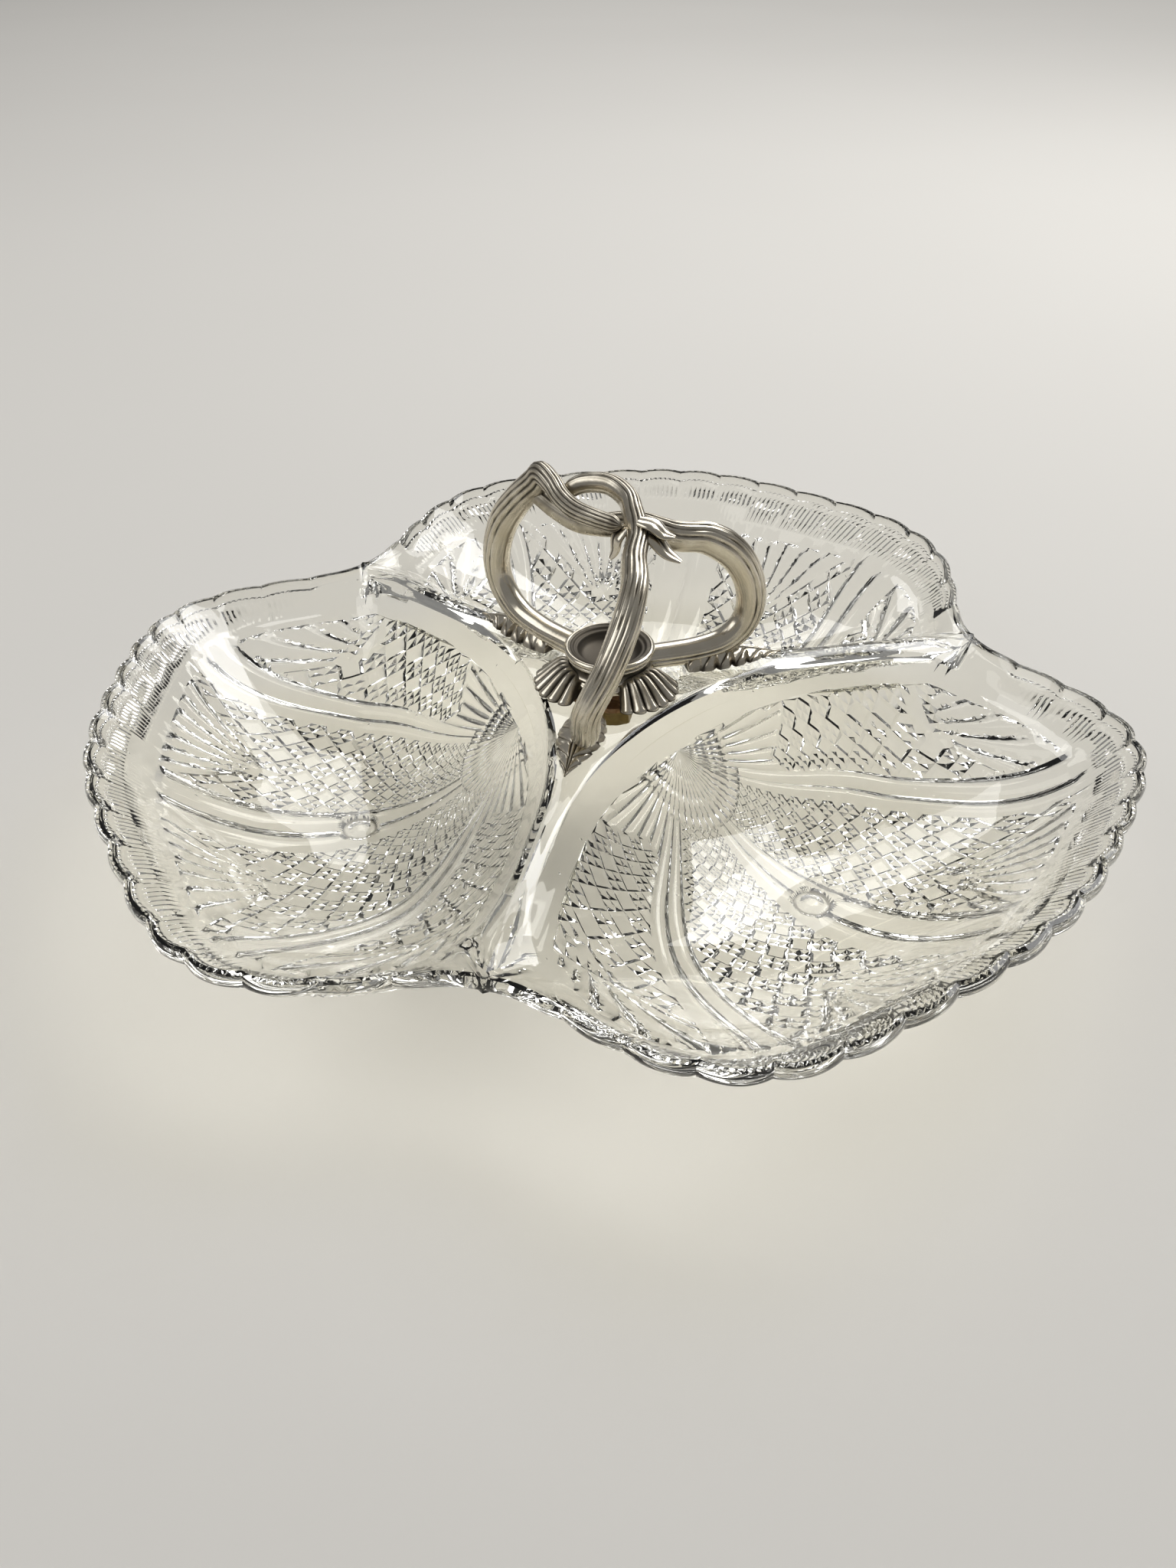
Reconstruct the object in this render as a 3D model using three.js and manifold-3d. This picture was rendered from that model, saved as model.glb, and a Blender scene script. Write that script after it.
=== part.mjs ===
// Three-lobed pressed-glass serving dish with a cast, silver-plated handle of three loops.
// The handle stands on a threaded stud that passes through the middle of the glass, and a nut with washers
// holds it from below. Millimetres, +Z up. The origin is on the stud's axis, level with the table.
import * as THREE from 'three';
import { mergeVertices } from 'three/addons/utils/BufferGeometryUtils.js';
import loadManifold from 'manifold-3d';

const wasm = await loadManifold();
wasm.setup();

// Gap that neighbouring pieces keep
const clearance = 0.3;

// Glass: the outline of the three lobes, seen from above
const rimRadius = 129.1;
const rimWave = [9.7, -7.3, 3.1];
const lobeAngles = [90, 210, 330];
const scallopsPerLobe = 20;
const scallopDepth = 1.4;
const borderWidth = 9.5;

// Glass: heights and walls
const bowlDepth = 36;
const glassWall = 4.2;
const padHeight = 0.8;
const padRadius = 4.6;
const rimDip = 6.8;
const rimThickness = 4.5;
const borderDrop = 6;
const bridgeBelowRim = 2.5;
const bridgeDrop = 5.5;
const bridgeThickness = 5;
const bridgeLip = 0.8;

// Glass: the bowls, seen from above
const bowlCentre = 71;
const bowlPower = 2.2;
const bridgeEdge = 20;
const bridgeEdgeRadius = 100;
const cornerSharpness = 14;

// Glass: the shell pressed under each bowl. Its ribs fan out from a hinge beside the bridge, at angles from
// the lobe's axis, and bend towards the axis on their way to the rim. Flutes lie between neighbouring ribs.
// The long ones are counted from the axis and run on to the rim as smooth bands. Between the bands the glass
// lies back by fieldCut, which is the mean depth of the fine diamonds there.
const hingeInset = 3.5;
const ribAngles = [0, 9.1, 21.3, 33.5, 45.6, 51.1, 56.6, 65.7, 74.8, 84];
const longFlutes = [0, 4, 5];
const ribEnd = 17;
const ribBend = 12.75;
const ribBendFrom = 40;
const ribBendTo = 100;
const fullBendAngle = 51;
const bandDepth = 1.3;
const ribDepth = 0.65;
const fieldCut = 0.5;
const fullDepthRadius = 80;
const ribDepthRadius = 22;
const plainStrip = 3;

// Fixing through the middle of the glass
const studRadius = 3;
const studHoleClearance = 1.2;
const studInBoss = 4;
const studBelowNut = 1.5;
const corkThickness = 1.2;
const corkGap = 0.5;
const washerThickness = 1.2;
const washerRadius = 9;
const nutAcrossFlats = 11;
const nutHeight = 5;

// Handle: the round boss in the middle
const bossRadius = 12;
const bossHeight = 9;
const bossWaist = 10.6;
const bossFoot = 1.8;
const bossLip = 1.4;
const bossCupDepth = 3.5;
const bossCupWall = 1.8;
const bossCupFlare = 2;

// Handle: the arms. Each runs out along a bridge of the glass, curls up in a C and swings round the axis
// at the top. foot is where the curl starts, waist is the height of its widest point, shoulder is where
// the curl ends. sway and lean turn the waist and the shoulder past the bridge. point is 1 for a round
// loop and more for a pointed one. Tail points are a distance from the axis, degrees past the bridge and
// a height. Heights are measured from the underside of the boss. leaf is where the leaf under it ends.
const armThickness = 9;
const armWidth = 6.8;
const footHeight = 3.3;
const arms = {
  right: {
    bridge: 30, leaf: 49, foot: 26, reach: 39.1, waist: 15.5, sway: 0,
    shoulder: [17.5, 37.6], lean: 0, point: 1,
    tail: [
      [10.8, 36, 39.2], [10, 84, 38.4], [14, 108, 38.4], [20, 116, 40], [25, 119, 42.2], [29, 120, 44],
    ],
  },
  left_back: {
    bridge: 150, leaf: 51, foot: 27, reach: 43.4, waist: 18, sway: 0,
    shoulder: [24, 49], lean: 0, point: 2.3,
    tail: [
      [19, 3, 48.2], [14.4, 10, 46.5], [8.6, 29, 45.9], [4.7, 84, 46.3], [8.4, 154, 46.5],
    ],
  },
  front: {
    bridge: 270, leaf: 45, foot: 27, reach: 42.6, waist: 16, sway: 7,
    shoulder: [18.4, 42.3], lean: 32, point: 1,
    tail: [
      [11.5, 50, 44.9], [6.2, 80, 47.3], [5.2, 136, 48.9], [8.6, 196, 50], [13.3, 225, 48.8],
      [16.3, 239, 46.2],
    ],
  },
};
const armRoot = 2;
const armSteps = 28;
const armSides = 10;
const footTaper = 0.72;
const tailTaper = 0.5;
const tailShare = 0.5;
const bodyShare = 0.84;

// Handle: leaves under the arms and palmettes between them
const leafStart = 21;
const leafWidth = 12;
const leafHeight = 5;
const leafEdge = 0.6;
const leafSteps = 9;
const leafSides = 8;
const palmetteRoot = 1;
const palmetteRadius = 20.5;
const palmetteHeight = 6;
const palmetteSpread = 74;
const palmetteFlutes = 7;
const palmetteEdge = 1;
const fluteDepth = 1;

// Sizes that follow from those above
const rimHeight = bowlDepth + glassWall + padHeight;
const bowlFloor = glassWall + padHeight;
const bridgeHeight = rimHeight - bridgeBelowRim;
const shellHinge = bridgeEdge + hingeInset;
const studHoleRadius = studRadius + studHoleClearance;
const boreRadius = studRadius + clearance;
const bossBase = bridgeHeight + clearance + corkThickness + clearance;
const corkRadius = bossRadius - palmetteRoot - corkGap;
const lobeTurn = Math.PI / lobeAngles.length;
const degrees = Math.PI / 180;
const weldDistance = 1e-4;
const roundSegments = 28;

// Solids from points and triangles

// One closed body with its faces pointing out, whichever way round the triangles were listed.
function closedBody(points, faces) {
  const volume = faces.reduce((sum, [a, b, c]) => {
    const edge = new THREE.Vector3().crossVectors(points[b], points[c]);
    return sum + points[a].dot(edge);
  }, 0);
  const outward = volume < 0 ? faces.map(([a, b, c]) => [a, c, b]) : faces;
  const geometry = new THREE.BufferGeometry().setFromPoints(points);
  geometry.setIndex(outward.flat());
  return mergeVertices(geometry, weldDistance);
}

// Triangles between two rings of count points each, whose first points have the indices a and b.
function strip(a, b, count) {
  const faces = [];
  for (let i = 0; i < count; i++) {
    const j = (i + 1) % count;
    faces.push([a + i, b + i, b + j], [a + i, b + j, a + j]);
  }
  return faces;
}

// Body through a row of rings with equal counts, closed by a flat fan at each end.
function loft(rings) {
  const count = rings[0].length;
  const points = rings.flat();
  const last = (rings.length - 1) * count;
  const faces = [];
  for (let k = 0; k < rings.length - 1; k++) faces.push(...strip(k * count, (k + 1) * count, count));
  for (let i = 1; i < count - 1; i++) faces.push([0, i, i + 1], [last, last + i + 1, last + i]);
  return closedBody(points, faces);
}

// Round body about the Z axis. Its profile of [radius, height] points ends on the axis or is closed here.
function turned(profile) {
  const points = profile.map(([radius, height]) => new THREE.Vector2(radius, height));
  if (profile[0][0] > 0) points.push(points[0]);
  return new THREE.LatheGeometry(points, roundSegments).rotateX(Math.PI / 2);
}

// Triangles of a geometry whose equal points are merged, without those that shrank to a line at the axis.
function mergedTriangles(geometry) {
  const plain = geometry.clone();
  plain.deleteAttribute('normal');
  plain.deleteAttribute('uv');
  const merged = mergeVertices(plain, weldDistance);
  const index = merged.index.array;
  const kept = [];
  for (let k = 0; k < index.length; k += 3) {
    const [a, b, c] = index.slice(k, k + 3);
    if (a !== b && b !== c && c !== a) kept.push(a, b, c);
  }
  return { points: new Float32Array(merged.attributes.position.array), triangles: new Uint32Array(kept) };
}

function toSolid(geometry) {
  const { points, triangles } = mergedTriangles(geometry);
  return new wasm.Manifold(new wasm.Mesh({ numProp: 3, vertProperties: points, triVerts: triangles }));
}

function fromSolid(solid) {
  const mesh = solid.getMesh();
  const geometry = new THREE.BufferGeometry();
  geometry.setAttribute('position', new THREE.BufferAttribute(new Float32Array(mesh.vertProperties), 3));
  geometry.setIndex(new THREE.BufferAttribute(new Uint32Array(mesh.triVerts), 1));
  return geometry;
}

// A piece cut back from its neighbours, which are given already grown by the clearance.
function cutBack(geometry, neighbours) {
  const cut = neighbours.reduce((solid, other) => solid.subtract(toSolid(other)), toSolid(geometry));
  return fromSolid(cut);
}

function polar(radius, angle, z) {
  return new THREE.Vector3(radius * Math.cos(angle), radius * Math.sin(angle), z);
}

// The glass dish

// Rim radius and height at an angle from a lobe's axis: three waves per lobe shape the outline.
function rimRadiusAt(angle) {
  const wave = lobeAngles.length * angle;
  return rimWave.reduce((radius, size, k) => radius + size * Math.cos((k + 1) * wave), rimRadius);
}

function rimHeightAt(angle) {
  return rimHeight - rimDip * (1 - Math.cos(lobeAngles.length * angle)) / 2;
}

// The bridge is flat round the fixing and falls away towards the notch in the rim.
function bridgeHeightAt(radius) {
  const run = Math.max(0, radius - bridgeEdge) / (rimRadiusAt(lobeTurn) - bridgeEdge);
  return bridgeHeight - bridgeDrop * run * run;
}

// Distance from the bowl's centre to the curved edge beside the bridges, in one direction.
function bridgeSideDistance(direction) {
  const bend = Math.sin(direction) ** 2 / (2 * bridgeEdgeRadius);
  const cosine = Math.cos(direction);
  const reach = bowlCentre - bridgeEdge;
  if (bend < 1e-6) return cosine < 0 ? reach / -cosine : Infinity;
  return (cosine + Math.sqrt(cosine * cosine + 4 * bend * reach)) / (2 * bend);
}

// Distance from the bowl's centre to the ring where the border starts, found by halving.
function ringDistance(direction) {
  const halvings = 40;
  let near = 0;
  let far = 2 * rimRadius;
  for (let k = 0; k < halvings; k++) {
    const middle = (near + far) / 2;
    const u = bowlCentre + middle * Math.cos(direction);
    const v = middle * Math.sin(direction);
    const inside = Math.hypot(u, v) < rimRadiusAt(Math.atan2(v, u)) - borderWidth;
    if (inside) near = middle;
    else far = middle;
  }
  return near;
}

// The bowl's edge in one direction: the nearer of the two curves, with a rounded corner between them.
function bowlEdge(direction) {
  const side = bridgeSideDistance(direction) ** -cornerSharpness;
  const ring = ringDistance(direction) ** -cornerSharpness;
  const distance = (side + ring) ** (-1 / cornerSharpness);
  const u = bowlCentre + distance * Math.cos(direction);
  const v = distance * Math.sin(direction);
  const onBridge = bridgeHeightAt(Math.hypot(u, v)) - bridgeLip;
  const onRing = rimHeightAt(Math.atan2(v, u)) - borderDrop;
  const height = (side * onBridge + ring * onRing) / (side + ring);
  return { distance, height };
}

// Half of one lobe's outline: along the rim to the notch, in along the bridge and round the stud's hole.
function halfOutline() {
  const bridgeSteps = 8;
  const holeSteps = 3;
  const outline = [];
  const rim = { depth: rimThickness, level: false };
  const bridge = { depth: bridgeThickness, level: true };
  for (let k = 0; k < scallopsPerLobe; k++) {
    const angle = lobeTurn * k / scallopsPerLobe;
    const radius = rimRadiusAt(angle) - (k % 2) * scallopDepth;
    outline.push({ ...rim, angle, radius, height: rimHeightAt(angle) });
  }
  const notch = rimRadiusAt(lobeTurn);
  for (let k = 0; k < bridgeSteps; k++) {
    const radius = notch + (studHoleRadius - notch) * k / bridgeSteps;
    outline.push({ ...bridge, angle: lobeTurn, radius, height: bridgeHeightAt(radius) });
  }
  for (let k = 0; k <= holeSteps; k++) {
    const angle = lobeTurn * (1 - k / holeSteps);
    outline.push({ ...bridge, angle, radius: studHoleRadius, height: bridgeHeight });
  }
  return outline;
}

// Height of the bowl's inner face and its slope, at a share of the way to the edge.
function bowlFace(edge, share) {
  const rise = edge.height - bowlFloor;
  const slope = bowlPower * rise * share ** (bowlPower - 1) / edge.distance;
  return { top: bowlFloor + rise * share ** bowlPower, slope };
}

// Rings of one lobe, as rows of points in the lobe's own frame (u along its axis, v across, z up).
// The upper face runs from the bowl's centre over the edge to the outline. The lower rings follow the wall
// from the bowl's edge outwards, under the border or the bridge.
function lobeRings(outline) {
  const upperShares = [0.22, 0.42, 0.6, 0.76, 0.89, 1];
  const cornerRun = 2.6;
  const cornerLimit = 0.6;
  const rays = outline.map(({ angle, radius, height, depth, level }) => {
    const u = radius * Math.cos(angle) - bowlCentre;
    const v = radius * Math.sin(angle);
    const direction = Math.atan2(v, u);
    return { direction, end: Math.hypot(u, v), height, depth, level, edge: bowlEdge(direction) };
  });
  const at = (ray, distance, z) => new THREE.Vector3(
    bowlCentre + distance * Math.cos(ray.direction), distance * Math.sin(ray.direction), z);
  const wallFoot = (ray) => {
    const { top, slope } = bowlFace(ray.edge, 1);
    return top - glassWall * Math.hypot(1, slope);
  };
  const corner = (ray) => {
    const border = ray.end - ray.edge.distance;
    const run = Math.min(cornerRun, cornerLimit * border);
    const share = ray.level ? 1 : run / border;
    const flat = ray.edge.height + (ray.height - ray.edge.height) * share - ray.depth;
    const wall = wallFoot(ray) + run * bowlFace(ray.edge, 1).slope;
    return at(ray, ray.edge.distance + run, Math.min(flat, wall));
  };
  const upper = [
    ...upperShares.map((share) => rays.map(
      (ray) => at(ray, share * ray.edge.distance, bowlFace(ray.edge, share).top))),
    rays.map((ray) => at(ray, ray.end, ray.height)),
  ];
  const lower = [
    rays.map((ray) => at(ray, ray.edge.distance, wallFoot(ray))),
    rays.map(corner),
    rays.map((ray) => at(ray, ray.end, ray.height - ray.depth)),
  ];
  return { upper, lower };
}

// Place on a rib that leaves the hinge at an angle, seen from above, at a distance from the hinge.
function onRib(distance, angle) {
  const way = THREE.MathUtils.smoothstep(distance, ribBendFrom, ribBendTo);
  const bend = ribBend * degrees * Math.min(1, Math.abs(angle) / (fullBendAngle * degrees));
  const turn = angle - Math.sign(angle) * bend * way;
  return { u: shellHinge + distance * Math.cos(turn), v: distance * Math.sin(turn) };
}

// How far a rib runs before it meets the plain strip inside the bowl's edge, found by halving.
function ribReach(angle) {
  const halvings = 40;
  let near = 0;
  let far = 2 * rimRadius;
  for (let k = 0; k < halvings; k++) {
    const middle = (near + far) / 2;
    const { u, v } = onRib(middle, angle);
    const edge = bowlEdge(Math.atan2(v, u - bowlCentre));
    if (Math.hypot(u - bowlCentre, v) < edge.distance - plainStrip) near = middle;
    else far = middle;
  }
  return near;
}

// Point on the outer face of the bowl, cut back into the wall along its normal.
function underBowl({ u, v }, cut) {
  const direction = Math.atan2(v, u - bowlCentre);
  const edge = bowlEdge(direction);
  const { top, slope } = bowlFace(edge, Math.hypot(u - bowlCentre, v) / edge.distance);
  const lean = Math.hypot(1, slope);
  const inwards = cut * slope / lean;
  const z = top - glassWall * lean + cut / lean;
  return new THREE.Vector3(u - inwards * Math.cos(direction), v - inwards * Math.sin(direction), z);
}

// Lines that carry the shell's points, all round the hinge: ribs, the bottoms of the flutes between them,
// and plain lines behind the hinge. A line in a field lies back where the ribs have ended.
function shellLines() {
  const plainAngles = [91, 98, 110, 128, 153];
  const half = [];
  ribAngles.forEach((angle, k) => {
    const edgeOfBand = longFlutes.includes(k) || longFlutes.includes(k - 1);
    half.push({ angle, rib: 0, field: edgeOfBand ? 0 : fieldCut, band: 0 });
    if (k + 1 === ribAngles.length) return;
    const long = longFlutes.includes(k);
    const middle = (angle + ribAngles[k + 1]) / 2;
    half.push({ angle: middle, rib: ribDepth, field: long ? 0 : fieldCut, band: long ? bandDepth : 0 });
  });
  half.push(...plainAngles.map((angle) => ({ angle, rib: 0, field: 0, band: 0 })));
  const mirrored = half.slice(1).reverse().map((line) => ({ ...line, angle: -line.angle }));
  const lines = [...mirrored, ...half, { angle: 180, rib: 0, field: 0, band: 0 }];
  return lines.map((line) => {
    const angle = line.angle * degrees;
    return { ...line, angle, reach: ribReach(angle) };
  });
}

// Under face of one bowl: its points, its triangles and its outer ring, in the lobe's own frame.
function shellFace() {
  const rows = [4, 8.5, 13, ribEnd, ribEnd + 4, 30, 40, 50, 60, 70, 80, 90, Infinity];
  const lines = shellLines();
  const count = lines.length;
  const points = [underBowl(onRib(0, 0), 0)];
  const faces = [];
  for (const row of rows) {
    for (const { angle, rib, field, band, reach } of lines) {
      const distance = Math.min(row, reach);
      const deep = Math.min(1, distance / fullDepthRadius);
      const ribCut = rib * Math.min(1, distance / ribDepthRadius);
      const cut = row > ribEnd ? (field + band) * deep : ribCut;
      points.push(underBowl(onRib(distance, angle), row < reach ? cut : 0));
    }
  }
  for (let i = 0; i < count; i++) faces.push([0, 1 + (i + 1) % count, 1 + i]);
  for (let k = 0; k + 1 < rows.length; k++) {
    const inner = 1 + k * count;
    const outer = inner + count;
    for (let i = 0; i < count; i++) {
      const j = (i + 1) % count;
      if (rows[k] >= lines[i].reach && rows[k] >= lines[j].reach) continue;
      faces.push([outer + i, inner + i, inner + j], [outer + i, inner + j, outer + j]);
    }
  }
  return { points, faces, ring: lines.map((_, i) => 1 + (rows.length - 1) * count + i) };
}

// Triangles between an inner and an outer ring of any counts, joined in the order of their directions.
function zipRings(inner, outer) {
  const steps = [
    ...inner.map((p) => ({ ...p, isInner: true })), ...outer.map((p) => ({ ...p, isInner: false })),
  ].sort((a, b) => a.direction - b.direction);
  let lastInner = steps.filter((p) => p.isInner).at(-1).index;
  let lastOuter = steps.filter((p) => !p.isInner).at(-1).index;
  const faces = [];
  for (const { index, isInner } of steps) {
    if (isInner) {
      faces.push([lastInner, index, lastOuter]);
      lastInner = index;
    } else {
      faces.push([lastOuter, lastInner, index]);
      lastOuter = index;
    }
  }
  return faces;
}

// Three lobes side by side, each standing on a round pad at its lowest point.
function glassDish() {
  const half = halfOutline();
  const mirrored = half.slice(1, -1).reverse().map((p) => ({ ...p, angle: -p.angle }));
  const outline = [...half, ...mirrored];
  const count = outline.length;
  const { upper, lower } = lobeRings(outline);
  const shell = shellFace();
  const points = [];
  const faces = [];
  const pads = [];
  const meetsNextLobe = (p) => Math.abs(p.angle) === lobeTurn;
  const directed = (point, index) => ({ index, direction: Math.atan2(point.y, point.x - bowlCentre) });
  for (const lobe of lobeAngles) {
    const turn = (p) => p.clone().applyAxisAngle(new THREE.Vector3(0, 0, 1), lobe * degrees);
    const start = points.length;
    const upperStart = start + 1;
    const lowerStart = upperStart + upper.length * count;
    const shellStart = lowerStart + lower.length * count;
    points.push(turn(new THREE.Vector3(bowlCentre, 0, bowlFloor)));
    points.push(...[...upper, ...lower].flat().map(turn), ...shell.points.map(turn));
    for (let i = 0; i < count; i++) faces.push([start, upperStart + i, upperStart + (i + 1) % count]);
    for (let k = 0; k < upper.length - 1; k++) {
      faces.push(...strip(upperStart + k * count, upperStart + (k + 1) * count, count));
    }
    for (let k = 0; k < lower.length - 1; k++) {
      faces.push(...strip(lowerStart + (k + 1) * count, lowerStart + k * count, count));
    }
    faces.push(...shell.faces.map((face) => face.map((index) => shellStart + index)));
    faces.push(...zipRings(
      shell.ring.map((index) => directed(shell.points[index], shellStart + index)),
      lower[0].map((point, i) => directed(point, lowerStart + i))));
    const topRow = upperStart + (upper.length - 1) * count;
    const bottomRow = lowerStart + (lower.length - 1) * count;
    for (let i = 0; i < count; i++) {
      const j = (i + 1) % count;
      if (meetsNextLobe(outline[i]) && meetsNextLobe(outline[j])) continue;
      faces.push([topRow + i, bottomRow + i, bottomRow + j], [topRow + i, bottomRow + j, topRow + j]);
    }
    const padDepth = padHeight + glassWall / 2;
    const pad = new THREE.CylinderGeometry(padRadius, padRadius, padDepth, roundSegments);
    pad.rotateX(Math.PI / 2);
    const padPlace = turn(new THREE.Vector3(bowlCentre, 0, padDepth / 2));
    pads.push(pad.translate(padPlace.x, padPlace.y, padPlace.z));
  }
  const body = toSolid(closedBody(points, faces));
  return fromSolid(pads.reduce((solid, pad) => solid.add(toSolid(pad)), body));
}

// The handle's arms

// Middle line of one arm: straight out to the foot, two quarter ellipses of the C, then the tail.
function armPath(arm) {
  const quarterSteps = 4;
  const points = [polar(bossRadius - armRoot, arm.bridge * degrees, bossBase + footHeight)];
  for (let k = 1 - quarterSteps; k <= 0; k++) {
    const a = Math.PI / 2 * k / (quarterSteps - 1);
    const radius = arm.foot + (arm.reach - arm.foot) * Math.cos(a);
    const height = arm.waist + (arm.waist - footHeight) * Math.sin(a);
    const sway = arm.sway * Math.cos(a);
    points.push(polar(radius, (arm.bridge + sway) * degrees, bossBase + height));
  }
  const [shoulderRadius, shoulderHeight] = arm.shoulder;
  for (let k = 1; k <= quarterSteps; k++) {
    const share = k / quarterSteps;
    const fall = Math.max(0, Math.cos(Math.PI / 2 * share)) ** arm.point;
    const radius = shoulderRadius + (arm.reach - shoulderRadius) * fall;
    const height = arm.waist + (shoulderHeight - arm.waist) * Math.sin(Math.PI / 2 * share);
    const lean = arm.sway + (arm.lean - arm.sway) * share;
    points.push(polar(radius, (arm.bridge + lean) * degrees, bossBase + height));
  }
  for (const [radius, turn, height] of arm.tail) {
    points.push(polar(radius, (arm.bridge + turn) * degrees, bossBase + height));
  }
  return new THREE.CatmullRomCurve3(points);
}

// Oval section carried along the arm's middle line, slimmer at the foot and at the end of the tail.
// The section's long axis starts upright and is carried along without twist.
function armBody(arm, share, grow) {
  const curve = armPath(arm);
  const stations = Math.round(armSteps * share);
  const normal = new THREE.Vector3(0, 0, -1);
  const rings = [];
  for (let k = 0; k <= stations; k++) {
    const t = k / armSteps;
    const centre = curve.getPointAt(t);
    const tangent = curve.getTangentAt(t);
    normal.addScaledVector(tangent, -normal.dot(tangent)).normalize();
    const across = new THREE.Vector3().crossVectors(tangent, normal);
    const swell = Math.min(1, footTaper + 2 * (1 - footTaper) * t);
    const fade = 1 - (1 - tailTaper) * Math.max(0, 1 - (1 - t) / tailShare);
    const ring = [];
    for (let i = 0; i < armSides; i++) {
      const a = 2 * Math.PI * i / armSides;
      const deep = (armThickness / 2 * swell * fade + grow) * Math.cos(a);
      const wide = (armWidth / 2 * fade + grow) * Math.sin(a);
      ring.push(centre.clone().addScaledVector(normal, deep).addScaledVector(across, wide));
    }
    rings.push(ring);
  }
  return loft(rings);
}

// Small pieces of the handle

// Round collar with a shallow cup on top and a blind hole below for the stud.
function bossBody(grow) {
  const base = bossBase - grow;
  const radius = bossRadius + grow;
  const waist = bossWaist + grow;
  const top = bossBase + bossHeight;
  const cupRadius = bossRadius - bossCupWall;
  const cupFloor = top - bossCupDepth;
  const holeTop = bossBase + studInBoss + clearance;
  return turned([
    [0, holeTop], [boreRadius, holeTop], [boreRadius, base], [radius, base], [radius, bossBase + bossFoot],
    [waist, bossBase + bossHeight / 2], [radius, top - bossLip], [radius - bossCupWall / 2, top + grow],
    [cupRadius, top], [cupRadius - bossCupFlare, cupFloor], [0, cupFloor],
  ]);
}

// Pointed leaf that lies on the bridge under an arm, humped along its middle. Its width and height follow
// stretches of a sine wave, so it is broadest under the arm's curl and ends in a point.
function leafBody(arm) {
  const angle = arm.bridge * degrees;
  const along = polar(1, angle, 0);
  const across = polar(1, angle + Math.PI / 2, 0);
  const rings = [];
  for (let k = 0; k <= leafSteps; k++) {
    const t = k / leafSteps;
    const radius = leafStart + (arm.leaf - leafStart) * t;
    const breadth = Math.sin(Math.PI * (1 + 3 * t) / 4);
    const hump = Math.sin(Math.PI * (1 + 2 * t) / 3);
    const width = Math.max(leafEdge, leafWidth * breadth) / 2;
    const height = Math.max(leafEdge, leafHeight * hump);
    const floor = bridgeHeightAt(radius) + 2 * clearance;
    const ring = [];
    for (let i = 0; i < leafSides; i++) {
      const a = 2 * Math.PI * i / leafSides;
      const side = across.clone().multiplyScalar(width * Math.cos(a));
      const up = floor + height * Math.max(0, Math.sin(a));
      ring.push(along.clone().multiplyScalar(radius).add(side).setZ(up));
    }
    rings.push(ring);
  }
  return loft(rings);
}

// Fluted shell that spreads from the boss over the glass between two arms.
function palmetteBody(lobe) {
  const inner = bossRadius - palmetteRoot;
  const floor = bridgeHeight + 2 * clearance;
  const rings = [];
  for (let k = 0; k <= 2 * palmetteFlutes; k++) {
    const share = k / (2 * palmetteFlutes) - 0.5;
    const angle = (lobe + palmetteSpread * share) * degrees;
    const crest = fluteDepth * (k % 2);
    const outer = palmetteRadius * (1 - share * share / 2) - fluteDepth + crest;
    const middle = (inner + outer) / 2;
    rings.push([
      polar(inner, angle, floor),
      polar(outer, angle, floor),
      polar(outer, angle, floor + palmetteEdge + crest),
      polar(middle, angle, floor + (palmetteEdge + palmetteHeight) / 2 + crest),
      polar(inner, angle, floor + palmetteHeight),
    ]);
  }
  return loft(rings);
}

// Pieces of the fixing

function ringBody(low, height, inner, outer) {
  return turned([[inner, low], [outer, low], [outer, low + height], [inner, low + height]]);
}

function studBody(low, high) {
  const chamfer = studRadius / 4;
  return turned([
    [0, low], [studRadius - chamfer, low], [studRadius, low + chamfer], [studRadius, high], [0, high],
  ]);
}

function nutBody(low) {
  const shape = new THREE.Shape();
  const flats = 6;
  const corner = nutAcrossFlats / 2 / Math.cos(Math.PI / flats);
  for (let k = 0; k < flats; k++) {
    const a = 2 * Math.PI * k / flats;
    if (k === 0) shape.moveTo(corner, 0);
    else shape.lineTo(corner * Math.cos(a), corner * Math.sin(a));
  }
  shape.holes.push(new THREE.Path().absarc(0, 0, boreRadius, 0, 2 * Math.PI, true));
  const settings = { depth: nutHeight, bevelEnabled: false, curveSegments: roundSegments };
  const body = new THREE.ExtrudeGeometry(shape, settings);
  return body.translate(0, 0, low);
}

// Finishes
const clearGlass = new THREE.MeshStandardMaterial({
  color: 0xe9ece6, roughness: 0.04, metalness: 0, transparent: true, opacity: 0.35,
});
const silverPlate = new THREE.MeshStandardMaterial({ color: 0xb9b2a3, roughness: 0.28, metalness: 1 });
const brass = new THREE.MeshStandardMaterial({ color: 0xa58a52, roughness: 0.4, metalness: 1 });
const cork = new THREE.MeshStandardMaterial({ color: 0x9a7350, roughness: 0.9, metalness: 0 });

// Assembly
const dish = new THREE.Group();

function add(name, geometry, material) {
  const mesh = new THREE.Mesh(geometry, material);
  mesh.name = name;
  dish.add(mesh);
}

add('glass_dish', glassDish(), clearGlass);

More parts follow.
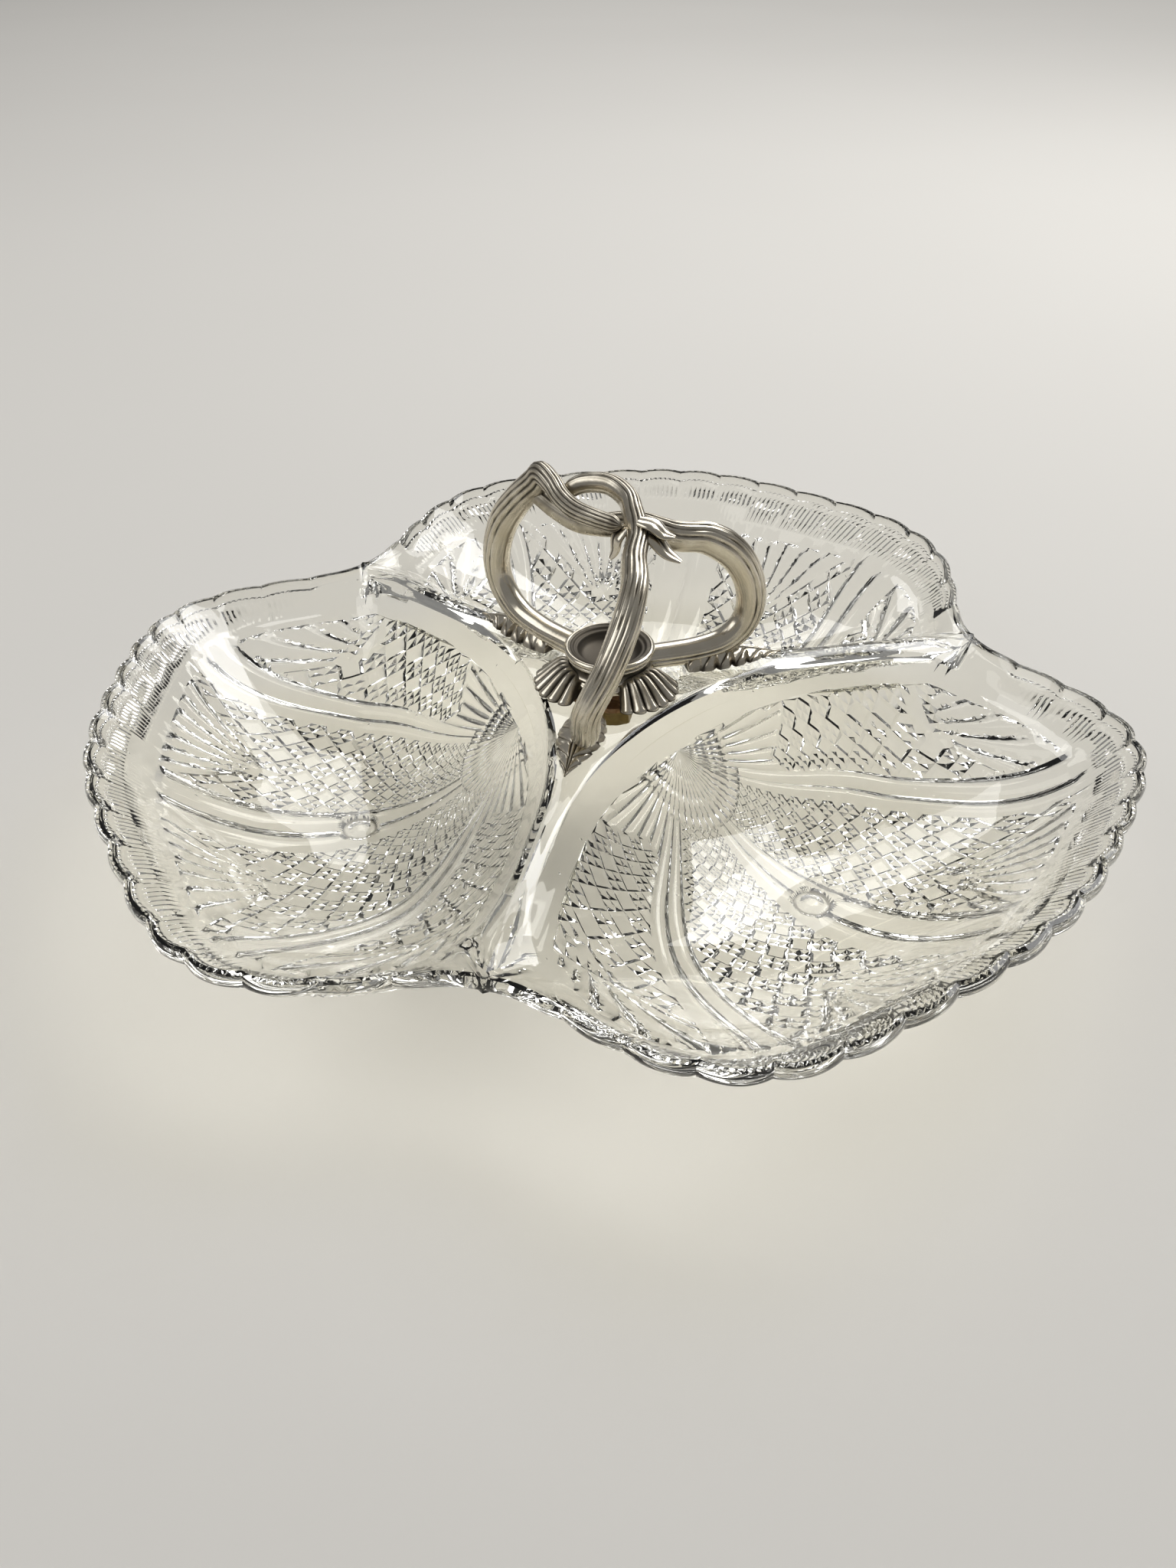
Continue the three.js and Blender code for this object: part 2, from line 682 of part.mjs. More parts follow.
const boss = bossBody(0);
const bossSpace = bossBody(clearance);
const armSpace = {};
for (const [side, arm] of Object.entries(arms)) armSpace[side] = armBody(arm, bodyShare, clearance);
add('handle_boss', boss, silverPlate);
const landsOn = { right: 'left_back', left_back: 'front', front: 'left_back' };
for (const [side, arm] of Object.entries(arms)) {
  add(`handle_arm_${side}`, cutBack(armBody(arm, 1, 0), [bossSpace, armSpace[landsOn[side]]]), silverPlate);
}
for (const [side, arm] of Object.entries(arms)) {
  add(`leaf_foot_${side}`, cutBack(leafBody(arm), [armSpace[side]]), silverPlate);
}
const palmetteSides = ['back', 'left', 'right'];
palmetteSides.forEach((side, k) => {
  const neighbours = [bossSpace, ...Object.values(armSpace)];
  add(`palmette_${side}`, cutBack(palmetteBody(lobeAngles[k]), neighbours), silverPlate);
});

// The stack on the stud, from the boss down: cork, glass, cork, washer and nut
const glassUnderside = bridgeHeight - bridgeThickness;
const lowerCorkBase = glassUnderside - clearance - corkThickness;
const washerBase = lowerCorkBase - clearance - washerThickness;
const nutBase = washerBase - clearance - nutHeight;
add('upper_cork', ringBody(bridgeHeight + clearance, corkThickness, boreRadius, corkRadius), cork);
add('lower_cork', ringBody(lowerCorkBase, corkThickness, boreRadius, corkRadius), cork);
add('brass_washer', ringBody(washerBase, washerThickness, boreRadius, washerRadius), brass);
add('fixing_nut', nutBody(nutBase), brass);
add('threaded_stud', studBody(nutBase - studBelowNut, bossBase + studInBoss), brass);

export default dish;
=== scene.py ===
"""Looks of a three-lobed pressed-glass serving dish with a silver-plated handle of knotted loops.

Every shape is worked out in millimetres, as arrays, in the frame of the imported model: +Z up, the origin on
the table under the stud. A lobe has a frame of its own: u along its axis from the middle, v across.
"""

import math

import bmesh
import bpy
import numpy as np
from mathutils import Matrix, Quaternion, Vector


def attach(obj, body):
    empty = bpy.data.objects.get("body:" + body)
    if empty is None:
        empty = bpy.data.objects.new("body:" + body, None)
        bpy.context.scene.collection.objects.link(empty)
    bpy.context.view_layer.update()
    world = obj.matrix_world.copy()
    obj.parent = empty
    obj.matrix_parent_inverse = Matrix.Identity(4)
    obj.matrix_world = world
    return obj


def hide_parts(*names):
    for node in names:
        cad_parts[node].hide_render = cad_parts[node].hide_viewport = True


bl_info = {
    "name": "Divided Glass Dish",
    "version": (1, 0, 0),
    "blender": (4, 5, 0),
    "location": "View3D > Sidebar > Dish",
    "description": "Presses a divided glass dish and casts its plated handle over a packed model",
    "category": "Object",
}

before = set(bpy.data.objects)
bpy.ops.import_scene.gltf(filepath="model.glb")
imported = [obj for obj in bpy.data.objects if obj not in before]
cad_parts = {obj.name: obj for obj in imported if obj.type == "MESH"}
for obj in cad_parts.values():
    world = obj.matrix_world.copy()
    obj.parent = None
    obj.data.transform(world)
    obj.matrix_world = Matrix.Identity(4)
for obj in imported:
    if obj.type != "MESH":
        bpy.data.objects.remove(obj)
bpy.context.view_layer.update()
MM = 0.001

# Outline of the three lobes
LOBE_ANGLES = (90, 210, 330)
LOBE_TURN = math.pi / 3
RIM_RADIUS = 129.1
RIM_WAVE = (9.7, -7.3, 3.1)
SCALLOP_TURN = math.radians(6)
BORDER_WIDTH = 9.5

# Heights and walls of the glass
RIM_HEIGHT = 41.0
RIM_DIP = 6.8
RIM_THICKNESS = 4.5
BORDER_DROP = 6.0
BOWL_FLOOR = 5.0
GLASS_WALL = 4.2
BRIDGE_HEIGHT = 38.5
BRIDGE_DROP = 5.5
BRIDGE_THICKNESS = 5.0
BRIDGE_LIP = 0.8
HOLE_RADIUS = 4.2

# Bowls, seen from above
BOWL_CENTRE = 71.0
BOWL_POWER = 2.2
BRIDGE_EDGE = 20.0
BRIDGE_EDGE_RADIUS = 100.0
CORNER_SHARPNESS = 14.0

# Pressed shells: angles about the hinge count in steps, and rows grow by the same step
HINGE = 23.5
STEP = math.radians(1.825)
DIAMOND = 4
MIDDLE_BAND = 5
SIDE_BAND = (25, 31)
FIELD_END = 46
RIB_LINES = (0, 5, 9, 13, 17, 21, 25, 28, 31, 34, 37, 40, 43, 46, 50, 54, 60, 70, 84, 100)
FOOT_ROW = 32
FOOT_RADIUS = 4.6
BEAD_ROWS = (4.8, 9.4, 14.0)
RIB_FULL = 11.0
LADDER_PITCH = 3
BEAD_WIDTH = 0.8
RIB_RADII = (0.4, 1.6, 3.2, 4.2, 4.8, 5.4, 7.0, 8.6, 9.4, 10.2, 12.0, 13.2, 14.0, 14.8, 16.2)
PLAIN_COLUMNS = (46, 47.5, 50, 54, 60, 70, 84)
LATTICE_START = (BOWL_CENTRE - HINGE) * math.exp(-FOOT_ROW * STEP)
FINE_ROW = 48
LAST_ROW = 57
PLAIN_STRIP = 3.0
LONGEST_RIB = 140.0

# Starts of fields and fans in diamonds along both diagonals, and apexes of fans as row and column
OUTER_FIELD_START = (5, 3)
INNER_FAN_START = (13.5, 9.5)
OUTER_FAN_START = (13, 9)
INNER_FAN_APEX = (46, 13)
OUTER_FAN_APEX = (44, 39)
FAN_FLUTES = 7

# Ribs drift inwards between two distances from the hinge, most at one angle and a little less past it
DRIFT_RUN = (40, 100)
DRIFT_ANGLE = math.radians(51)
DRIFT_MOST = math.radians(12.75)
DRIFT_EASE_ANGLE = math.radians(29)
DRIFT_EASE = math.radians(2.25)

# Leaves under the end of a bridge: degrees off the bridge, length and width, from a point near the notch
SPRAY_BASE = 105.0
SPRAY_LEAVES = ((0, 24, 3.0), (24, 18, 2.6), (48, 12, 2.4), (78, 9, 2.2))

# Rounded edge of the rim: steps back and down from its highest line
RIM_INSET = 1.6
RIM_EDGE = ((0.5, 0.3), (0.06, 1.2), (0.0, 2.2), (0.2, 3.4), (0.8, 4.2))

# Where the bowls meet the border and the bridges
CORNER_RUN = 2.6
EDGE_SOFTNESS = 0.35
BOWL_COLUMNS = 120


# Small tools

def smooth(low, high, x):
    """Smooth step from 0 at low to 1 at high."""
    t = np.clip((x - low) / (high - low), 0, 1)
    return t * t * (3 - 2 * t)


def wave(x):
    """Concave flute: 1 on the ridges at whole numbers, 0 halfway between them, along a parabola."""
    return (2 * np.mod(x, 1) - 1) ** 2


def soft_lower(a, b, radius):
    """The lower of two heights, with the corner between them rounded."""
    return -radius * np.logaddexp(-a / radius, -b / radius)


def farthest(is_inside, limit, rounds):
    """The farthest distance from 0 to a limit that is still inside, found by halving."""
    near, far = np.zeros_like(limit), limit
    for _ in range(rounds):
        middle = (near + far) / 2
        inside = is_inside(middle)
        near, far = np.where(inside, middle, near), np.where(inside, far, middle)
    return near


def turned_about_z(points, degrees):
    """Points turned about the Z axis."""
    angle = math.radians(degrees)
    c, s = math.cos(angle), math.sin(angle)
    return points @ np.array([[c, s, 0], [-s, c, 0], [0, 0, 1]])


def ring_faces(first, second):
    """Triangles between two closed rings of equally many point numbers."""
    a, b = np.asarray(first), np.asarray(second)
    a1, b1 = np.roll(a, -1), np.roll(b, -1)
    return np.concatenate([np.stack([a, a1, b1], 1), np.stack([a, b1, b], 1)])


def zip_faces(first, first_turn, second, second_turn):
    """Triangles between two closed rings of any counts, merged in the order of their angles."""
    turn = np.concatenate([first_turn, second_turn])
    from_first = np.concatenate([np.ones(len(first), bool), np.zeros(len(second), bool)])
    order = np.argsort(turn, kind="stable")
    took = from_first[order]
    i = np.cumsum(took) - 1
    j = np.cumsum(~took) - 1
    a, b = first[i], second[j]
    before = np.where(took, first[i - 1], second[j - 1])
    return np.stack([a, b, before], 1)


def welded(points, faces, distance=1e-3):
    """Points closer than a distance made one, and the triangles that shrank to a line left out."""
    _, keep, number = np.unique(np.round(points / distance + 0.317), axis=0,
                                return_index=True, return_inverse=True)
    faces = number.ravel()[faces]
    a, b, c = faces.T
    return points[keep], faces[(a != b) & (b != c) & (c != a)]


def piece(name, points, faces, finish, nodes, slot, crease=35, body="dish", layers=None):
    """A closed mesh from points in millimetres and triangles, riding on a body in place of CAD nodes."""
    mesh = bpy.data.meshes.new(name)
    mesh.vertices.add(len(points))
    mesh.vertices.foreach_set("co", np.ascontiguousarray(points * MM, np.float32).ravel())
    mesh.loops.add(faces.size)
    mesh.loops.foreach_set("vertex_index", np.ascontiguousarray(faces, np.int32).ravel())
    mesh.polygons.add(len(faces))
    mesh.polygons.foreach_set("loop_start", np.arange(0, faces.size, 3, dtype=np.int32))
    mesh.update(calc_edges=True)
    for layer, values in (layers or {}).items():
        attribute = mesh.attributes.new(layer, "FLOAT", "POINT")
        attribute.data.foreach_set("value", np.asarray(values, np.float32))
    solid = bmesh.new()
    solid.from_mesh(mesh)
    bmesh.ops.recalc_face_normals(solid, faces=solid.faces)
    solid.to_mesh(mesh)
    solid.free()
    mesh.polygons.foreach_set("use_smooth", np.ones(len(mesh.polygons), bool))
    mesh.set_sharp_from_angle(angle=math.radians(crease))
    mesh.materials.append(finish)
    shown = bpy.data.objects.new(name, mesh)
    bpy.context.scene.collection.objects.link(shown)
    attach(shown, body)
    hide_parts(*nodes)
    return shown


# Shape of the plain glass

def rim_radius(angle):
    """Distance of the rim from the middle: a circle with three cosine waves per lobe."""
    return RIM_RADIUS + sum(size * np.cos((k + 1) * 3 * angle) for k, size in enumerate(RIM_WAVE))


def rim_height(angle):
    """The rim dips towards the notches between the lobes, as a cosine."""
    return RIM_HEIGHT - RIM_DIP * (1 - np.cos(3 * angle)) / 2


def bridge_height(radius):
    """The bridge is level round the handle and falls away to the notch as a square."""
    run = np.maximum(0, radius - BRIDGE_EDGE) / (rim_radius(LOBE_TURN) - BRIDGE_EDGE)
    return BRIDGE_HEIGHT - BRIDGE_DROP * run ** 2


def bowl_edge(direction):
    """Distance and height of the bowl's edge, seen from the bowl's centre.

    One side is a parabola beside the bridges, the other runs inside the rim, and a power mean rounds
    the corner between them.
    """
    cosine = np.cos(direction)
    bend = np.maximum(np.sin(direction) ** 2 / (2 * BRIDGE_EDGE_RADIUS), 1e-9)
    reach = BOWL_CENTRE - BRIDGE_EDGE
    side = (cosine + np.sqrt(cosine ** 2 + 4 * bend * reach)) / (2 * bend)

    def inside_border(distance):
        u, v = BOWL_CENTRE + distance * cosine, distance * np.sin(direction)
        return np.hypot(u, v) < rim_radius(np.arctan2(v, u)) - BORDER_WIDTH

    side_weight = side ** -CORNER_SHARPNESS
    ring_weight = farthest(inside_border, np.full_like(cosine, 2 * RIM_RADIUS), 36) ** -CORNER_SHARPNESS
    distance = (side_weight + ring_weight) ** (-1 / CORNER_SHARPNESS)
    u, v = BOWL_CENTRE + distance * cosine, distance * np.sin(direction)
    on_bridge = bridge_height(np.hypot(u, v)) - BRIDGE_LIP
    on_ring = rim_height(np.arctan2(v, u)) - BORDER_DROP
    height = (side_weight * on_bridge + ring_weight * on_ring) / (side_weight + ring_weight)
    return distance, height


def bowl_face(share, edge_distance, edge_height):
    """Height and slope of the bowl's inner face: a power of the distance from its centre."""
    rise = edge_height - BOWL_FLOOR
    slope = BOWL_POWER * rise * share ** (BOWL_POWER - 1) / edge_distance
    return BOWL_FLOOR + rise * share ** BOWL_POWER, slope


def under_bowl(u, v, cut):
    """Points on the outer face of the bowl at (u, v), moved inwards along the normal by a cut."""
    direction = np.arctan2(v, u - BOWL_CENTRE)
    distance = np.hypot(u - BOWL_CENTRE, v)
    edge_distance, edge_height = bowl_edge(direction)
    top, slope = bowl_face(distance / edge_distance, edge_distance, edge_height)
    lean = np.hypot(1, slope)
    inwards = cut * slope / lean
    return np.stack([u - inwards * np.cos(direction), v - inwards * np.sin(direction),
                     top - GLASS_WALL * lean + cut / lean], -1)


# The pressed pattern under the bowls

def hinge_point(row_radius, psi):
    """(u, v) at a distance from the hinge on the rib whose angle at the hinge is psi. Ribs bend inwards."""
    turn = np.abs(psi)
    drift = DRIFT_MOST * np.minimum(turn / DRIFT_ANGLE, 1)
    drift = drift - DRIFT_EASE * np.clip((turn - DRIFT_ANGLE) / DRIFT_EASE_ANGLE, 0, 1)
    phi = np.sign(psi) * (turn - drift * smooth(*DRIFT_RUN, row_radius))
    return HINGE + row_radius * np.cos(phi), row_radius * np.sin(phi)


def pattern_reach(psi):
    """How far each rib runs before it meets the plain strip inside the bowl's edge."""

    def inside_strip(row_radius):
        u, v = hinge_point(row_radius, psi)
        edge_distance, _ = bowl_edge(np.arctan2(v, u - BOWL_CENTRE))
        return np.hypot(u - BOWL_CENTRE, v) < edge_distance - PLAIN_STRIP

    return farthest(inside_strip, np.full_like(psi, LONGEST_RIB), 30)


def diamonds(along, across):
    """Height from 0 to 1 of a lattice of diamonds, and how far its points shift along both diagonals.

    Flat-topped diamonds and diamonds cut into four small pyramids take turns as on a chessboard.
    """
    fa, fb = np.mod(along, 1), np.mod(across, 1)
    rise_a, rise_b = (np.clip(4 * np.minimum(f, 1 - f), 0, 1) for f in (fa, fb))
    flat = np.mod(np.floor(along) + np.floor(across), 2) == 0
    peak_a, peak_b = (1 - np.abs(2 * np.mod(2 * x, 1) - 1) for x in (along, across))
    pyramids = np.minimum(peak_a, peak_b)
    height = np.where(flat, np.minimum(rise_a, rise_b), pyramids)
    spread = np.where(flat, 0.09, 0)
    return height, -spread * np.sin(2 * np.pi * fa) * rise_b, -spread * np.sin(2 * np.pi * fb) * rise_a


def fan(row, column, apex_row, apex_column):
    """Height of a fan of flutes that opens from an apex towards the rim."""
    spread = (column - apex_column) / np.maximum(row - apex_row, 1e-6)
    return wave((np.clip(spread, -1, 1) + 1) / 2 * FAN_FLUTES)


def pressed(row, column, sizes):
    """Cut depth at a row and a column of the pattern, both in steps, and where relief shifts them to."""
    side = np.sign(column)
    turn = np.abs(column)
    radius = LATTICE_START * np.exp(row * STEP)
    small = np.minimum(1, radius / 80)
    inner = (turn > MIDDLE_BAND) & (turn < SIDE_BAND[0])
    outer = turn > SIDE_BAND[1]
    start = np.where(outer, SIDE_BAND[1], MIDDLE_BAND)
    along = (row + turn - start) / DIAMOND
    across = (row - turn + start) / DIAMOND
    height, shift_a, shift_b = diamonds(along, across)

    def past(start):
        return (along >= start[0]) & (across >= start[1])

    in_field = np.where(outer, past(OUTER_FIELD_START), inner & (row >= 0))
    depth = sizes.diamond_depth / MM * small
    # Fans at the far ends of the fields
    fan_height = np.where(outer, fan(row, turn, *OUTER_FAN_APEX), fan(row, turn, *INNER_FAN_APEX))
    fanned = (inner & past(INNER_FAN_START)) | (outer & past(OUTER_FAN_START))
    height = np.where(fanned, fan_height, height)
    depth = np.where(fanned, sizes.band_depth / MM, depth)
    shift_a, shift_b = (np.where(fanned, 0, s) for s in (shift_a, shift_b))
    # Smooth bands of two flutes
    middle_band = turn <= MIDDLE_BAND
    side_band = (turn >= SIDE_BAND[0]) & (turn <= SIDE_BAND[1])
    half = (SIDE_BAND[1] - SIDE_BAND[0]) / 2
    band_height = np.where(middle_band, wave(turn / MIDDLE_BAND), wave((turn - SIDE_BAND[0]) / half))
    banded = (middle_band | side_band) & (row >= 0)
    height = np.where(banded, band_height, height)
    depth = np.where(banded, sizes.band_depth / MM * small, depth)
    # Ribs round the hinge, with rows of beads
    ribbed = ~banded & ~in_field
    beads = sum(np.exp(-((radius - at) / BEAD_WIDTH) ** 2) for at in BEAD_ROWS)
    rib = np.interp(turn, RIB_LINES, np.arange(len(RIB_LINES)))
    rib_height = np.clip(wave(rib) + 0.5 * beads, 0, 1)
    ladder = (turn > FIELD_END) & (row > 0)
    height = np.where(ribbed, np.where(ladder, wave(row / LADDER_PITCH), rib_height), height)
    depth = np.where(ribbed, sizes.rib_depth / MM * np.minimum(1, radius / RIB_FULL), depth)
    moved = in_field & ~banded
    shift_a, shift_b = (np.where(moved, s, 0) for s in (shift_a, shift_b))
    new_row = row + (shift_a + shift_b) * DIAMOND / 2
    new_column = side * (turn + (shift_a - shift_b) * DIAMOND / 2)
    return depth * (1 - height), new_row, new_column


def foot(points, row, column):
    """Turns the squares of the grid round the bowl's lowest point into a round foot ring on the table."""
    across, along = column / 3, (row - FOOT_ROW) / 3
    size = np.maximum(np.abs(across), np.abs(along))
    angle = np.arctan2(across, along)
    round_u = BOWL_CENTRE + FOOT_RADIUS * size * np.cos(angle)
    round_v = FOOT_RADIUS * size * np.sin(angle)
    pull = (1 - smooth(1, 5 / 3, size))[..., None]
    plan = np.stack([round_u, round_v], -1) * pull + points[..., :2] * (1 - pull)
    dimple = 0.9 * (1 - smooth(0.35, 0.8, size))
    height = np.where(size <= 1.001, dimple, points[..., 2])
    near = (size < 5 / 3)[..., None]
    return np.where(near, np.concatenate([plan, height[..., None]], -1), points)


def pattern_grid(rows, columns, sizes):
    """Points of the pattern at rows and columns in steps, kept inside the plain strip."""
    row, column = np.meshgrid(rows, columns, indexing="ij")
    reach = pattern_reach(columns * STEP)[None, :]
    cut, new_row, new_column = pressed(row, column, sizes)
    wanted = LATTICE_START * np.exp(row * STEP)
    beyond = wanted >= reach
    radius = np.where(beyond, reach, np.minimum(LATTICE_START * np.exp(new_row * STEP), reach))
    u, v = hinge_point(radius, np.where(beyond, column, new_column) * STEP)
    points = under_bowl(u, v, np.where(beyond, 0, cut))
    return foot(points, row, column), beyond


def pattern_columns(field_step, band_step):
    """Columns of the pattern all the way round the hinge, in steps, close together where there is relief."""
    parts = [np.arange(0, MIDDLE_BAND, band_step), np.arange(MIDDLE_BAND, SIDE_BAND[0], field_step),
             np.arange(*SIDE_BAND, band_step), np.arange(SIDE_BAND[1], FIELD_END, field_step)]
    half = np.concatenate([*parts, PLAIN_COLUMNS])
    return np.concatenate([-half[:0:-1], half, [math.pi / STEP]])


def pattern_cells(rows, columns, sizes):
    """Points, triangles and grid numbers of a patch. A point in each square makes both diagonals edges."""
    grid_points, out = pattern_grid(rows, columns, sizes)
    next_columns = np.append(columns[1:], columns[0] + 2 * math.pi / STEP)
    centres, _ = pattern_grid((rows[:-1] + rows[1:]) / 2, (columns + next_columns) / 2, sizes)
    beside, out_beside = np.roll(grid_points, -1, 1), np.roll(out, -1, 1)
    corners = np.stack([grid_points[:-1], grid_points[1:], beside[:-1], beside[1:]])
    clipped = out[:-1] | out[1:] | out_beside[:-1] | out_beside[1:]
    centres = np.where(clipped[..., None], corners.mean(0), centres)
    kept = ~(out & out_beside)[:-1]
    grid = np.arange(out.size).reshape(out.shape)
    middle = out.size + np.arange(kept.size).reshape(kept.shape)
    a, b = grid[:-1], grid[1:]
    a1, b1 = np.roll(a, -1, 1), np.roll(b, -1, 1)
    faces = [np.stack([middle, p, q], -1)[kept] for p, q in ((a, a1), (a1, b1), (b1, b), (b, a))]
    return np.concatenate([grid_points.reshape(-1, 3), centres.reshape(-1, 3)]), np.concatenate(faces), grid


def pattern(sizes):
    """Points, triangles, outermost ring and that ring's angles about the bowl's centre."""
    rib_rows = np.log(np.array(RIB_RADII) / LATTICE_START) / STEP
    rows = np.concatenate([rib_rows, np.arange(0, FINE_ROW + 1)])
    columns = pattern_columns(1, 0.5)
    points, faces, grid = pattern_cells(rows, columns, sizes)
    fine_rows = np.arange(FINE_ROW + 0.5, LAST_ROW, 0.5)
    fine_columns = pattern_columns(0.5, 0.5)
    fine_points, fine_faces, fine_grid = pattern_cells(fine_rows, fine_columns, sizes)
    fine_grid = fine_grid + len(points)
    seam = zip_faces(grid[-1], columns, fine_grid[0], fine_columns)
    hinge = len(points) + len(fine_points)
    hinge_at = under_bowl(np.array([HINGE]), np.array([0.0]), np.array([0.0]))
    cap = np.stack([np.full(len(columns), hinge), grid[0], np.roll(grid[0], -1)], 1)
    faces = np.concatenate([faces, fine_faces + len(points), seam, cap])
    points = np.concatenate([points, fine_points, hinge_at])
    ring = fine_grid[-1]
    return points, faces, ring, np.arctan2(points[ring, 1], points[ring, 0] - BOWL_CENTRE)


# The border, the bridges and the inside of the bowls

def outline(sizes):
    """Columns round one lobe: angle about the dish, radius, height, and flags for rim and flutes."""
    flutes = sizes.flutes_per_scallop
    per_half = round(LOBE_TURN / SCALLOP_TURN) * flutes * 2
    rim_turn = LOBE_TURN * np.arange(per_half + 1) / per_half
    scallop = rim_turn / SCALLOP_TURN - np.round(rim_turn / SCALLOP_TURN)
    plain = smooth(LOBE_TURN * 0.97, LOBE_TURN * 0.8, rim_turn)
    notch = rim_radius(rim_turn) - sizes.scallop_depth / MM * (2 * scallop) ** 2 * plain
    end = rim_radius(LOBE_TURN)
    along = np.concatenate([np.linspace(end - 2.6, 76, 30), np.linspace(73, HOLE_RADIUS, 22)])
    hub_turn = LOBE_TURN * (1 - np.arange(1, 6) / 5)
    turn = np.concatenate([rim_turn, np.full(len(along), LOBE_TURN), hub_turn])
    radius = np.concatenate([notch, along, np.full(len(hub_turn), HOLE_RADIUS)])
    on_rim = np.arange(len(turn)) < len(rim_turn)
    height = np.where(on_rim, rim_height(turn), bridge_height(radius))
    fade = smooth(LOBE_TURN * 0.9, LOBE_TURN * 0.76, turn) * on_rim
    flute = np.where(np.arange(len(turn)) % 2 == 0, 0, 1) * fade
    mirror = slice(-2, 0, -1)
    turn = np.concatenate([turn, -turn[mirror]])
    rest = [np.concatenate([x, x[mirror]]) for x in (radius, height, on_rim, flute)]
    return turn, *rest


def leaf_spray(along, off, sizes):
    """Raised leaves where a bridge meets the rim: pointed ovals that fan out from a point near the notch."""
    x, y = SPRAY_BASE - along, np.abs(off)
    raised = np.zeros_like(x)
    for angle, length, width in SPRAY_LEAVES:
        c, s = math.cos(math.radians(angle)), math.sin(math.radians(angle))
        t = np.clip((x * c + y * s) / length, 0, 1)
        side = np.abs(-x * s + y * c)
        half = width / 2 * np.sin(math.pi * t ** 0.8) + 1e-6
        raised = np.maximum(raised, np.clip(1 - side / half, 0, 1) * np.sin(math.pi * t) ** 0.5)
    return raised * sizes.leaf_relief / MM


